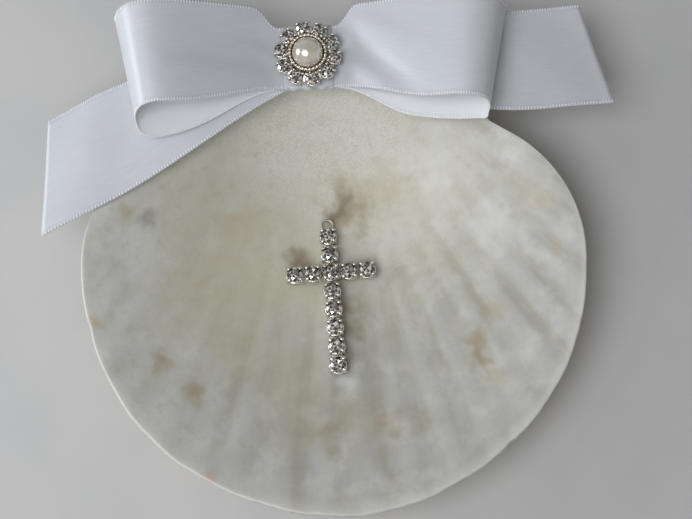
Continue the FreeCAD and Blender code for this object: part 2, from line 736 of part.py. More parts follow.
button_base = Vector(size("bow_x"), bow_y, wrap_top_z + size("button_glue_height"))
button_place = Placement(button_base, Rotation(Vector(0, 0, 1), FIRST_STONE_ANGLE))
button_setting = doc.addObject("PartDesign::Body", "button_setting")
button_sketch = add_sketch(button_setting, "button_profile_sketch", "XZ_Plane")
collar_inside = "(sizes.pearl_width / 2 + sizes.collar_clearance)"
collar_outside = f"({collar_inside} + sizes.collar_wall)"
button_edge = "sizes.button_width / 2"
draw_outline(button_sketch, [
    ("0", "0"), (button_edge, "0"), (button_edge, "sizes.button_ledge_height"),
    (collar_outside, "sizes.button_ledge_height"), (collar_outside, "sizes.collar_height"),
    (collar_inside, "sizes.collar_height"), (collar_inside, "sizes.button_plate_height"),
    ("0", "sizes.button_plate_height"),
])
button_turned = add_feature(button_setting, "Revolution", "button_turned", button_sketch)
button_turned.ReferenceAxis = (button_sketch, ["V_Axis"])
button_turned.Angle = 360
button_cup = add_cup(button_setting, "button_cup", None, "sizes.button_ledge_height",
                     "sizes.button_stone_width", "sizes.button_seat_width", "sizes.button_ring_radius")
button_ring = button_setting.newObject("PartDesign::PolarPattern", "button_ring")
button_ring.Originals = button_cup
button_ring.Axis = (origin_feature(button_setting, "Z_Axis"), [""])
button_ring.Angle = 360
button_ring.Occurrences = BUTTON_STONES
button_setting.Tip = button_ring
button_setting.Placement = button_place

button_cut = add_stone_cut("button_stone_cut", size("button_stone_width"))
button_girdle = value(girdle_height("sizes.button_ledge_height", "sizes.button_stone_width",
                                    "sizes.button_seat_width"))
button_stones = []
for index in range(BUTTON_STONES):
    around = Placement(Vector(), Rotation(Vector(0, 0, 1), 360 / BUTTON_STONES * index))
    seat = Placement(Vector(size("button_ring_radius"), 0, button_girdle), Rotation())
    place = button_place * around * seat
    button_stones.append(add_stone(button_cut, f"button_stone_{index + 1:02d}", place))

pearl_foot_angle = "acos(sizes.pearl_foot_width / sizes.pearl_width)"
button_pearl = doc.addObject("Part::Sphere", "button_pearl")
button_pearl.setExpression("Radius", "sizes.pearl_width / 2")
button_pearl.setExpression("Angle1", f"-{pearl_foot_angle}")
pearl_rise = value(f"sizes.button_plate_height + sizes.pearl_width / 2 * sin({pearl_foot_angle})")
button_pearl.Placement.Base = button_base + Vector(0, 0, pearl_rise)


# Check and write

nodes = [shell, cross_setting, cross_glue, bow_loops, bow_tails, bow_wrap, bow_glue,
         button_setting, button_pearl, button_glue] + cross_stones + button_stones
doc.recompute()
for item in doc.Objects:
    if "Invalid" in item.State or "Error" in item.State:
        raise RuntimeError(f"{item.Label} did not build: {item.getStatusString()}")
os.makedirs("parts", exist_ok=True)
shapes = {node.Label: Part.getShape(node) for node in nodes}
for label, shape in shapes.items():
    if shape.isNull() or not shape.isValid():
        raise RuntimeError(f"{label} is not a sound solid")
for label, shape in shapes.items():
    print(f"{label}: {len(shape.Solids)} solid, {shape.Volume:.1f} mm3")
    shape.exportStep(f"parts/{label}.step")
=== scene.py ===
# %% [markdown]
# # Baptismal shell
# This lesson dresses a shell that pours water: one scallop valve with a stone-set cross glued in its
# bowl, and a white satin bow with a pearl button glued over its hinge. The CAD model has every piece
# as a plain solid in one frame, with +Y towards the hinge and +Z up. The scene keeps that frame and
# makes a finer skin for each solid, so a piece goes where the CAD says and nothing is fitted by eye.
# Sizes are written in millimetres, as at the bench, and become metres only where a mesh is made.

import math

import bpy
import numpy as np
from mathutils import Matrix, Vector


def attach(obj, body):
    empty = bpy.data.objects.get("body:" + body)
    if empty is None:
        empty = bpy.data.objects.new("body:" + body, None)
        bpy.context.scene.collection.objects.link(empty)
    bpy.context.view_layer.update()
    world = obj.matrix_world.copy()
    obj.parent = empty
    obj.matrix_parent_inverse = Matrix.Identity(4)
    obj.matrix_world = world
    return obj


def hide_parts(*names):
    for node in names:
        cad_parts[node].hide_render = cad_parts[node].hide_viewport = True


MM = 0.001
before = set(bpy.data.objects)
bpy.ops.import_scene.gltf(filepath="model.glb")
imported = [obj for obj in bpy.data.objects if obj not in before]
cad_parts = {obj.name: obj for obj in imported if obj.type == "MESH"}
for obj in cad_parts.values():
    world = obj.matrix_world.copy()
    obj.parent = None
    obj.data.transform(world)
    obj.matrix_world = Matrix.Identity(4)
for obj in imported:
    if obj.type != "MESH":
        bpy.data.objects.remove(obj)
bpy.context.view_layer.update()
scene = bpy.context.scene
scene.view_settings.view_transform = "Standard"
print("CAD nodes:", len(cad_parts))

# %% [markdown]
# ## Camera
# The photograph looks nearly straight down, from about a third of a metre. A camera could be aimed
# with a Track To constraint. Two angles and a distance from a target say the same in numbers that
# can be compared with the picture, and nothing has to be evaluated later, so that way is used.

# %% Camera
ELEVATION = math.radians(80)
AZIMUTH = math.radians(-2.696)
DISTANCE = 340
TARGET = Vector((2.954, -5.776, 20.4))
level = math.cos(ELEVATION)
away = Vector((math.sin(AZIMUTH) * level, -math.cos(AZIMUTH) * level, math.sin(ELEVATION)))
camera = bpy.data.objects.new("camera", bpy.data.cameras.new("camera"))
camera.data.lens = 71
camera.data.sensor_width = 36
camera.data.clip_start = 0.01
camera.location = (TARGET + away * DISTANCE) * MM
camera.rotation_euler = (math.pi / 2 - ELEVATION, 0, AZIMUTH)
scene.collection.objects.link(camera)
scene.camera = camera
print("camera at", [round(value, 3) for value in camera.location])

# %% [markdown]
# ## Meshes from rows of points
# Nearly every piece here is a skin over rows of points: rays of the shell, stations along a ribbon,
# rings of a turned cup. Curves with a bevel or a Screw modifier make such skins too. Rows from a
# short formula say exactly where each point lies and how rows meet, so that is the way taken here.

# %% Mesh from points
def make_mesh(name, points, faces, smooth=True):
    """A mesh from points in millimetres."""
    mesh = bpy.data.meshes.new(name)
    mesh.from_pydata((np.asarray(points, float).reshape(-1, 3) * MM).tolist(), [], faces)
    mesh.update()
    if smooth:
        mesh.shade_smooth()
    return mesh


# %% Faces between rows
def grid_faces(rows, columns, closed=False):
    """Quads between the rows of a grid of points, with the columns joined in a ring if closed."""
    faces = []
    for row in range(rows - 1):
        for column in range(columns if closed else columns - 1):
            following = (column + 1) % columns
            here = row * columns
            faces.append((here + column, here + following,
                          here + columns + following, here + columns + column))
    return faces


def tube_faces(rows, columns):
    """A closed grid with one face over its first ring and one over its last."""
    ends = [tuple(range(columns))[::-1], tuple(range((rows - 1) * columns, rows * columns))]
    return grid_faces(rows, columns, closed=True) + ends


def ring_joint(rows, columns):
    """Quads from the last row of a closed grid back to its first."""
    last = (rows - 1) * columns
    return [(last + column, last + (column + 1) % columns, (column + 1) % columns, column)
            for column in range(columns)]


print("faces of a tube of 3 rings of 8:", len(tube_faces(3, 8)))


# %% Several shapes as one
def joined(shapes):
    """Points and faces of several shapes as one."""
    points = []
    faces = []
    for more, extra in shapes:
        faces += [tuple(len(points) + corner for corner in face) for face in extra]
        points += more
    return points, faces


# %% [markdown]
# ## Pieces and the numbers they carry
# A finished piece rides on a body of the CAD model. This object has no joints, so there is one body.
# A mesh can also carry numbers for each point or face, called attributes, and a flat map of itself,
# called a UV map. Both tell a material where on the real thing a point lies, which coordinates in
# space can't: how old the shell is there, or which thread of the ribbon it is.

# %% Pieces and attributes
def add_piece(name, mesh):
    """A mesh as a piece on the one body."""
    piece = bpy.data.objects.new(name, mesh)
    scene.collection.objects.link(piece)
    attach(piece, "root")
    return piece


def set_values(mesh, name, values, domain="POINT"):
    """A number for each point or face, read later by its name."""
    attribute = mesh.attributes.new(name, "FLOAT", domain)
    attribute.data.foreach_set("value", np.asarray(values, np.float32).ravel())


def lay_flat(mesh, flat):
    """The cloth map: where each point lies on the flat ribbon, in millimetres."""
    layer = mesh.uv_layers.new(name="cloth")
    corners = np.zeros(len(mesh.loops), np.int32)
    mesh.loops.foreach_get("vertex_index", corners)
    layer.data.foreach_set("uv", (flat * MM)[corners].astype(np.float32).ravel())


# %% [markdown]
# ## Node trees in a script
# Materials and Geometry Nodes are both trees of nodes. They could be drawn by hand in the editor,
# but a script can be read, compared and run again. One helper adds a node, links each input that
# is given a socket and sets each input that is given a value. The others name common sums, so that
# a material reads like a recipe.

# %% One node
def add_node(tree, kind, inputs=None, **settings):
    node = tree.nodes.new(kind)
    for key, setting in settings.items():
        setattr(node, key, setting)
    for key, given in (inputs or {}).items():
        if isinstance(given, bpy.types.NodeSocket):
            tree.links.new(given, node.inputs[key])
        else:
            node.inputs[key].default_value = given
    return node


# %% A tree with named inputs
def new_tree(kind, name, inputs, outputs):
    """A node group with inputs of (label, socket kind, start value) and outputs of (label, kind)."""
    tree = bpy.data.node_groups.new(name, kind)
    for label, socket_kind, start in inputs:
        socket = tree.interface.new_socket(label, in_out="INPUT",
                                           socket_type=f"NodeSocket{socket_kind}")
        if start is not None:
            socket.default_value = start
    for label, socket_kind in outputs:
        tree.interface.new_socket(label, in_out="OUTPUT", socket_type=f"NodeSocket{socket_kind}")
    return tree, tree.nodes.new("NodeGroupInput"), tree.nodes.new("NodeGroupOutput")


# %% Sums
def math_node(tree, operation, first, second=0.0):
    return add_node(tree, "ShaderNodeMath", {0: first, 1: second}, operation=operation).outputs[0]


def times(tree, first, second):
    return math_node(tree, "MULTIPLY", first, second)


def plus(tree, first, second):
    return math_node(tree, "ADD", first, second)


def minus(tree, first, second):
    return math_node(tree, "SUBTRACT", first, second)


# %% [markdown]
# ## Geometry Nodes that end as plain meshes
# The flutes of the shell follow one rule, and stones, claws, beads and stitches repeat, so node
# trees make them. A tree could stay live as a modifier. The finished model needs plain meshes, so
# each tree runs once on a carrier object, and what it makes becomes the piece. Realize Instances
# and Set Material close every tree, because instances would be lost on the way out.

# %% Bake a tree
def end_tree(tree, geometry, material, end):
    real = add_node(tree, "GeometryNodeRealizeInstances", {"Geometry": geometry})
    painted = add_node(tree, "GeometryNodeSetMaterial",
                       {"Geometry": real.outputs[0], "Material": material})
    tree.links.new(painted.outputs[0], end.inputs[0])


def stored_value(tree, name, kind="FLOAT"):
    """An attribute of the mesh that goes into the tree."""
    node = add_node(tree, "GeometryNodeInputNamedAttribute", {"Name": name}, data_type=kind)
    return next(socket for socket in node.outputs if socket.enabled)


def bake_tree(name, mesh, tree, given):
    """A piece whose plain mesh is what a Geometry Nodes tree makes of another mesh."""
    carrier = bpy.data.objects.new(f"{name}_source", mesh)
    scene.collection.objects.link(carrier)
    modifier = carrier.modifiers.new(tree.name, "NODES")
    modifier.node_group = tree
    for label, setting in given.items():
        modifier[tree.interface.items_tree[label].identifier] = setting
    ready = carrier.evaluated_get(bpy.context.evaluated_depsgraph_get())
    made = bpy.data.meshes.new_from_object(ready)
    bpy.data.objects.remove(carrier)
    return add_piece(name, made)


# %% [markdown]
# ## Copies on places
# A setter makes one cup, one stone or one stitch, and then many more alike. Array modifiers could
# copy along a line, but the cross, the button and the ribbon edges all have places of their own.
# So a small mesh of bare points carries two directions for each place, and the tree stands a copy
# on each point. A random number with a fixed seed tells one copy from another.

# %% Scatter tree
CHANCE_SEED = 4


def make_scatter_tree():
    tree, start, end = new_tree(
        "GeometryNodeTree", "scatter",
        [("Points", "Geometry", None), ("Instance", "Object", None), ("Material", "Material", None)],
        [("Geometry", "Geometry")])
    up = add_node(tree, "FunctionNodeAlignRotationToVector",
                  {"Vector": stored_value(tree, "z_direction", "FLOAT_VECTOR")}, axis="Z")
    turn = add_node(tree, "FunctionNodeAlignRotationToVector",
                    {"Rotation": up.outputs[0],
                     "Vector": stored_value(tree, "x_direction", "FLOAT_VECTOR")},
                    axis="X", pivot_axis="Z")
    source = add_node(tree, "GeometryNodeObjectInfo", {"Object": start.outputs["Instance"]})
    placed = add_node(tree, "GeometryNodeInstanceOnPoints",
                      {"Points": start.outputs["Points"], "Instance": source.outputs["Geometry"],
                       "Rotation": turn.outputs[0]})
    chance = add_node(tree, "FunctionNodeRandomValue", {"Seed": CHANCE_SEED}, data_type="FLOAT")
    number = next(socket for socket in chance.outputs if socket.enabled)
    stored = add_node(tree, "GeometryNodeStoreNamedAttribute",
                      {"Geometry": placed.outputs[0], "Name": "chance", "Value": number},
                      data_type="FLOAT", domain="INSTANCE")
    end_tree(tree, stored.outputs[0], start.outputs["Material"], end)
    return tree


scatter_tree = make_scatter_tree()
print("scatter tree nodes:", len(scatter_tree.nodes))


# %% Scatter a mesh
def scatter(name, mesh, places, material):
    """A piece made of copies of a mesh, at places of (point, x direction, z direction)."""
    points = bpy.data.meshes.new(name)
    points.from_pydata([tuple(np.asarray(place[0]) * MM) for place in places], [], [])
    for label, column in (("x_direction", 1), ("z_direction", 2)):
        attribute = points.attributes.new(label, "FLOAT_VECTOR", "POINT")
        directions = np.array([tuple(place[column]) for place in places], np.float32)
        attribute.data.foreach_set("vector", directions.ravel())
    source = bpy.data.objects.new(mesh.name, mesh)
    piece = bake_tree(name, points, scatter_tree, {"Instance": source, "Material": material})
    bpy.data.objects.remove(source)
    return piece


# %% [markdown]
# ## Colours and masks
# A web colour is what a screen shows, while a shader works with linear light, so each colour is
# turned into linear values first. Masks are soft ramps over a noise, an attribute or a distance.
# A picture could be pasted on instead, but a recipe of ramps has no seams and no resolution.

# %% Paint
def paint(hex_colour):
    """Linear colour from a web colour."""
    channels = [int(hex_colour[place:place + 2], 16) / 255 for place in (1, 3, 5)]
    return [((c + 0.055) / 1.055) ** 2.4 if c > 0.04045 else c / 12.92 for c in channels] + [1]


print("mid grey in linear light:", round(paint("#808080")[0], 3))


# %% Mixes and masks
def painted(given):
    """A web colour as paint, or the socket itself where one is given."""
    return paint(given) if isinstance(given, str) else given


def mix_colours(tree, factor, first, second):
    inputs = {0: factor, 6: painted(first), 7: painted(second)}
    return add_node(tree, "ShaderNodeMix", inputs, data_type="RGBA").outputs[2]


def ramp(tree, value, low, high, to_low=0.0, to_high=1.0):
    inputs = {"Value": value, "From Min": low, "From Max": high, "To Min": to_low, "To Max": to_high}
    return add_node(tree, "ShaderNodeMapRange", inputs, interpolation_type="SMOOTHSTEP").outputs[0]


def noise(tree, place, scale, detail=4.0, roughness=0.55):
    inputs = {"Vector": place, "Scale": scale, "Detail": detail, "Roughness": roughness}
    return add_node(tree, "ShaderNodeTexNoise", inputs).outputs["Fac"]


def object_place(tree):
    return add_node(tree, "ShaderNodeTexCoord").outputs["Object"]


def value_of(tree, name):
    """An attribute of the mesh, read in a material."""
    return add_node(tree, "ShaderNodeAttribute", attribute_name=name).outputs["Fac"]


# %% [markdown]
# ## Shared effects
# Shell, plating, pearl, glue and floor are all slightly uneven, in cloudy patches. That is one
# effect, so it is built once as a shader group with named inputs, and each material places it with
# its own colours and scale. The mask and the height come out too, so that the same patches can
# change gloss and bump.

# %% Mottle group
def make_mottle_group():
    """Two colours in cloudy patches, with the patches as a mask and as a height."""
    tree, given, result = new_tree(
        "ShaderNodeTree", "mottle",
        [("First", "Color", None), ("Second", "Color", None), ("Scale", "Float", 100),
         ("Detail", "Float", 4), ("Raggedness", "Float", 0.55), ("Low", "Float", 0.3),
         ("High", "Float", 0.7)],
        [("Colour", "Color"), ("Mask", "Float"), ("Height", "Float")])
    asked = given.outputs
    cloud = noise(tree, object_place(tree), asked["Scale"], asked["Detail"], asked["Raggedness"])
    mask = ramp(tree, cloud, asked["Low"], asked["High"])
    mixed = mix_colours(tree, mask, asked["First"], asked["Second"])
    for label, socket in (("Colour", mixed), ("Mask", mask), ("Height", cloud)):
        tree.links.new(socket, result.inputs[label])
    return tree


mottle_group = make_mottle_group()


def mottled(tree, first, second, scale, detail=4.0, raggedness=0.55, low=0.3, high=0.7):
    """The mottle group with its own values: gives its Colour, Mask and Height sockets."""
    given = {"First": painted(first), "Second": painted(second), "Scale": scale, "Detail": detail,
             "Raggedness": raggedness, "Low": low, "High": high}
    return add_node(tree, "ShaderNodeGroup", given, node_tree=mottle_group).outputs


print("mottle group nodes:", len(mottle_group.nodes))

# %% [markdown]
# A stain is a spot of colour that fades from its middle, and the same spot also lays painted
# shadows in the bowl. A round spot would look printed, so a noise pushes each point a little before
# its distance is measured, which frays the edge. The push grows with the radius, so that small spots
# stay small.

# %% Stain and shadow group
STAIN_AND_SHADOW_FRAY = 1.7


def make_stain_and_shadow_group():
    """Mixes a colour in round a point, with an edge that a noise makes ragged."""
    tree, given, result = new_tree(
        "ShaderNodeTree", "stain",
        [("Colour", "Color", None), ("Stain", "Color", None), ("Centre", "Vector", None),
         ("Radius", "Float", 0.01), ("Strength", "Float", 0.5)], [("Colour", "Color")])
    asked = given.outputs
    place = object_place(tree)
    ragged = add_node(tree, "ShaderNodeTexNoise", {"Vector": place, "Scale": 190, "Detail": 2})
    spread = add_node(tree, "ShaderNodeVectorMath",
                      {0: ragged.outputs["Color"], 1: (0.5, 0.5, 0.5)}, operation="SUBTRACT")
    wander = times(tree, asked["Radius"], STAIN_AND_SHADOW_FRAY)
    shift = add_node(tree, "ShaderNodeVectorMath",
                     {0: spread.outputs[0], "Scale": wander}, operation="SCALE")
    moved = add_node(tree, "ShaderNodeVectorMath", {0: place, 1: shift.outputs[0]})
    apart = add_node(tree, "ShaderNodeVectorMath",
                     {0: moved.outputs[0], 1: asked["Centre"]}, operation="DISTANCE")
    share = math_node(tree, "DIVIDE", apart.outputs["Value"], asked["Radius"])
    amount = times(tree, ramp(tree, share, 1.0, 0.0), asked["Strength"])
    mixed = mix_colours(tree, amount, asked["Colour"], asked["Stain"])
    tree.links.new(mixed, result.inputs[0])
    return tree


stain_and_shadow_group = make_stain_and_shadow_group()
print("stain group nodes:", len(stain_and_shadow_group.nodes))

# %% [markdown]
# ## Materials
# Each finish is one Principled BSDF. What changes over the surface is linked into it. What is the
# same all over is set on the shader's own sockets, because a plain number survives every export.

# %% Start and finish a material
def new_material(name):
    material = bpy.data.materials.new(name)
    material.use_nodes = True
    return material, material.node_tree, material.node_tree.nodes["Principled BSDF"]


def link_surface(tree, surface, colour, roughness=None):
    tree.links.new(colour, surface.inputs["Base Color"])
    if roughness is not None:
        tree.links.new(roughness, surface.inputs["Roughness"])


def set_plain(surface, values):
    for label, value in values.items():
        surface.inputs[label].default_value = value


def add_bump(tree, surface, height, strength, distance):
    """Fine relief for the light only. The distance is in millimetres."""
    inputs = {"Height": height, "Strength": strength, "Distance": distance * MM}
    tree.links.new(add_node(tree, "ShaderNodeBump", inputs).outputs[0], surface.inputs["Normal"])


# %% [markdown]
# ## Shell finish
# The inside of a scallop is a thin nacre: warm and clear in the bowl, milkier towards the margin,
# where it is youngest. The mesh will carry a growth value, 0 at the hinge and 1 at the margin, and
# a ray value that counts ribs from the middle. Colours that follow these two run with the shell as
# they do when it grows, which noise in space alone can't give.

# %% Shell: zones from bowl to margin
def shell_zones(tree, place, growth):
    """Gives the colour, and the cloud that the gloss follows too."""
    cloud = noise(tree, place, 55, 5)
    drift = times(tree, minus(tree, cloud, 0.5), 0.5)
    zone = ramp(tree, plus(tree, growth, drift), 0.62, 0.92)
    warm = mix_colours(tree, ramp(tree, cloud, 0.3, 0.7), "#c0bfb1", "#b5b2a1")
    patches = ramp(tree, noise(tree, place, 90, 4), 0.3, 0.7)
    milky = mix_colours(tree, patches, "#c5c6c1", "#b4b4ac")
    return mix_colours(tree, zone, warm, milky), cloud


# %% [markdown]
# The valleys between the ribs are browner in patches, partly as stain and partly as painted shade of
# the flutes, and the crests are paler as a painted highlight; both grow stronger towards the right,
# and a grey painted shade darkens the right side towards the margin. One wave with as many turns as
# there are ribs tells valley from crest. A noise drawn out along the rays breaks the streaks into
# patches, because whole streaks would look like painted stripes.

# %% Shell: streaks along the ribs
def shell_streaks(tree, colour, growth, ray):
    """Valleys browner (stain and painted shade), crests paler (painted highlight), right side greyer
    (painted shade).
    """
    along_rays = add_node(tree, "ShaderNodeCombineXYZ",
                          {"X": times(tree, ray, 1.1), "Y": times(tree, growth, 3)})
    patches = ramp(tree, noise(tree, along_rays.outputs[0], 1.3, 3), 0.42, 0.66)
    wave = math_node(tree, "COSINE", times(tree, ray, 2 * math.pi))
    valley = ramp(tree, wave, -0.2, 0.9)
    crest = ramp(tree, wave, 0.1, -0.9)
    outwards = ramp(tree, growth, 0.45, 0.75)
    rightwards = ramp(tree, ray, -7.0, 3.0, 0.25, 1.0)
    # Browner valleys, stronger to the right: partly stain, partly painted shade of the flutes.
    valley_stain_and_painted_shade = times(tree, times(tree, valley, patches), times(tree, outwards, rightwards))
    colour = mix_colours(tree, times(tree, valley_stain_and_painted_shade, 0.62), colour, "#9c937c")
    # Paler crests, stronger to the right: a painted highlight on the flutes.
    painted_crest_highlight = times(tree, times(tree, crest, rightwards), ramp(tree, growth, 0.4, 0.8, 0.0, 0.4))
    colour = mix_colours(tree, painted_crest_highlight, colour, "#cfd0cf")
    # Grey over the right side towards the margin: painted shade.
    painted_right_shade = times(tree, outwards, ramp(tree, ray, -6.0, 1.0, 0.0, 0.4))
    return mix_colours(tree, painted_right_shade, colour, "#8a8a83"), valley


# %% [markdown]
# The shell keeps a record of its growth: faint rings, and an old, chalky end at the hinge. The
# rings are a noise in one dimension, over the growth value alone, so each ring has one age all the
# way round. Over everything lies a fine haze with grey pores, made with the mottle group.

# %% Shell: growth rings, old hinge end and haze
def shell_rings(tree, growth):
    inputs = {"W": times(tree, growth, 26), "Detail": 5}
    return add_node(tree, "ShaderNodeTexNoise", inputs, noise_dimensions="1D").outputs["Fac"]


def shell_beak(tree, colour, place, growth):
    """The old end at the hinge is whiter, rougher and finely speckled."""
    wander = times(tree, minus(tree, noise(tree, place, 140, 4), 0.5), 0.12)
    beak = ramp(tree, plus(tree, growth, wander), 0.5, 0.22)
    specks = ramp(tree, noise(tree, place, 2400, 2, 0.7), 0.35, 0.65)
    tone = mix_colours(tree, specks, "#c6c4b5", "#dcdbd1")
    return mix_colours(tree, times(tree, beak, 0.75), colour, tone), beak


def shell_haze(tree, colour):
    """Fine whitish clouds and grey pores break up the smooth zones."""
    haze = mottled(tree, colour, "#d6d5cf", 120, 5, 0.6, 0.42, 0.75)["Colour"]
    colour = mix_colours(tree, 0.4, colour, haze)
    pores = mottled(tree, colour, "#97917f", 420, 4, 0.6, 0.5, 0.8)["Colour"]
    return mix_colours(tree, 0.3, colour, pores)


# %% [markdown]
# Sea water and handling leave brown, ochre and pale marks in the bowl. A random scatter of spots
# would look like any shell. A short list of marks, each with a named tint, a place on the bowl, a
# radius and a strength, makes it this one, and any mark can be moved or taken away by hand. The
# brown marks round the cross are partly stain and partly a painted shadow of the cross, and one
# khaki mark beside the right ear is painted shade.

# %% Shell: list of stains and painted shadows
TINTS = {
    "cream": "#b9b197", "straw": "#b0a07f", "khaki": "#a79d82", "drab": "#968768", "tan": "#9c885a",
    "brown": "#8d7b57", "ochre": "#8a713e", "umber": "#6c5a2f", "dun": "#7a6848", "grey": "#6f6c62",
    "blush": "#b59a85", "rose": "#b98477", "amber": "#b3934a", "pale": "#d8d8d4",
}
STAIN_AND_SHADOW_STRENGTH = 0.75
STAINS_AND_SHADOWS = [
    # tint, place x y z in mm, radius in mm, strength
    ("cream", (-16, -2, 4), 26, 0.55),
    ("cream", (-32, -14, 8.5), 24, 0.5),
    ("khaki", (-25, -27, 9), 13, 0.5),
    ("khaki", (-13, -35, 8.6), 13, 0.5),
    ("khaki", (-1, -44, 10.7), 12, 0.45),
    # Round the cross, above and to the right of its arms and stem: partly stain, partly painted shadow
    # of the cross.
    ("tan", (6.5, 13, 3.4), 12, 0.6),
    ("umber", (1, 9.4, 2.7), 4.5, 1.1),
    ("umber", (3.4, 12.5, 2.9), 6, 0.95),
    ("brown", (5.6, 8, 2.9), 6, 0.7),
    ("umber", (-9.2, -2.3, 2.7), 4.5, 1.0),
    ("dun", (4, -14.8, 3.3), 5, 0.75),
    ("dun", (3.9, -21.5, 4.6), 5, 0.8),
    ("dun", (3.4, -28, 5.9), 4, 0.7),
    ("brown", (8.5, -4.5, 2.8), 4.5, 0.6),
    ("drab", (-12, -47, 12.3), 14, 0.45),
    ("drab", (8, -48, 12.4), 14, 0.45),
    ("straw", (18, 16, 6), 9, 0.45),
    ("pale", (28.6, 21, 11), 15, 0.5),
    ("pale", (41, 3, 12.8), 13, 0.45),
    # Beside the right ear, next to the right loop: painted shade.
    ("khaki", (51.5, 10.5, 17), 11, 0.75),
    ("straw", (-24, 8, 6.4), 6, 0.45),
    ("straw", (-29, 7, 8), 6, 0.35),
    ("ochre", (34.4, -26.4, 11.2), 4.5, 0.75),
    ("ochre", (36, -30.5, 12.4), 5.5, 0.75),
    ("tan", (39, -36.5, 15), 5.5, 0.5),
    ("tan", (39.5, -18.5, 11.7), 4.5, 0.45),
    ("brown", (11.5, -47, 12.4), 5, 0.55),
    ("brown", (20.5, -46, 13.3), 5.5, 0.5),
    ("brown", (-3.5, -47.8, 12.2), 5, 0.55),
    ("brown", (-3.2, -52.8, 14.1), 4, 0.5),
    ("ochre", (-44.1, -28.1, 14.9), 4, 0.75),
    ("ochre", (-36.5, -36.2, 14.1), 5, 0.75),
    ("tan", (-52.5, 8.9, 18), 4.5, 0.65),
    ("grey", (-46.8, 7.9, 15.5), 4, 0.75),
    ("rose", (-32.6, -57.7, 19.7), 2.6, 0.8),
    ("amber", (-60.6, -18.4, 19.8), 3, 0.8),
    ("blush", (55.9, -4.9, 17.8), 4, 0.4),
    ("blush", (52.7, 7.6, 17.8), 4, 0.35),
    ("pale", (2.1, -35.2, 7.8), 3, 0.6),
]


print("stains:", len(STAINS_AND_SHADOWS), "in", len(TINTS), "tints")


# %% Shell: lay the stains and painted shadows on
def shell_stains_and_shadows(tree, colour):
    for tint, centre, radius, strength in STAINS_AND_SHADOWS:
        mark = {"Colour": colour, "Stain": paint(TINTS[tint]), "Centre": Vector(centre) * MM,
                "Radius": radius * MM, "Strength": STAIN_AND_SHADOW_STRENGTH * strength}
        colour = add_node(tree, "ShaderNodeGroup", mark, node_tree=stain_and_shadow_group).outputs[0]
    return colour


# %% [markdown]
# The outside of the valve is cream, with tan bands where growth paused, and it is paler on the
# crests. An "inside" value on the mesh chooses between the two sides, so that one material serves
# the whole valve and the colours meet in the middle of the rounded edge.

# %% Shell: outside colours
def shell_outside(tree, rings, valley):
    bands = mix_colours(tree, ramp(tree, rings, 0.4, 0.62), "#ddd0b8", "#b99a74")
    return mix_colours(tree, ramp(tree, valley, 0.0, 1.0, 0.25, 0.75), "#e6dcc8", bands)


# %% Shell: put the finish together
def make_shell_material():
    material, tree, surface = new_material("shell")
    place = object_place(tree)
    growth = value_of(tree, "growth")
    rings = shell_rings(tree, growth)
    colour, cloud = shell_zones(tree, place, growth)
    colour, valley = shell_streaks(tree, colour, growth, value_of(tree, "ray"))
    colour = mix_colours(tree, ramp(tree, rings, 0.45, 0.75, 0.0, 0.08), colour, "#aaa18e")
    colour, beak = shell_beak(tree, colour, place, growth)
    colour = shell_stains_and_shadows(tree, shell_haze(tree, colour))
    rim = ramp(tree, growth, 0.965, 0.998)
    colour = mix_colours(tree, times(tree, rim, 0.45), colour, "#d2d0c9")
    outside = shell_outside(tree, rings, valley)
    colour = mix_colours(tree, value_of(tree, "inside"), outside, colour)
    rough = plus(tree, ramp(tree, cloud, 0.3, 0.7, 0.36, 0.5), times(tree, beak, 0.2))
    link_surface(tree, surface, colour, rough)
    set_plain(surface, {"Coat Weight": 0.15, "Coat Roughness": 0.35, "Subsurface Weight": 0.15,
                        "Subsurface Radius": (1, 0.95, 0.88), "Subsurface Scale": 0.002})
    coarse = plus(tree, times(tree, beak, 0.8), 0.1)
    grain = times(tree, noise(tree, place, 1300, 4, 0.7), coarse)
    add_bump(tree, surface, plus(tree, grain, times(tree, rings, 0.15)), 0.3, 0.3)
    return material


shell_material = make_shell_material()
print("shell material nodes:", len(shell_material.node_tree.nodes))

# %% [markdown]
# ## Satin
# Satin shines because long threads float over its face, and the shine is stretched across them.
# The edge has a thin groove where the woven border begins. A plain glossy white would look like
# plastic. So the ribbon's flat map stretches two noises into threads and slubs, an anisotropic
# highlight follows the same map, and a "reverse" value makes the back of the ribbon duller and
# lighter. The lighter back is painted light, for the glow that comes through the thin satin into
# the shaded insides of the loops.

# %% Satin
HALF_CLOTH = 0.013


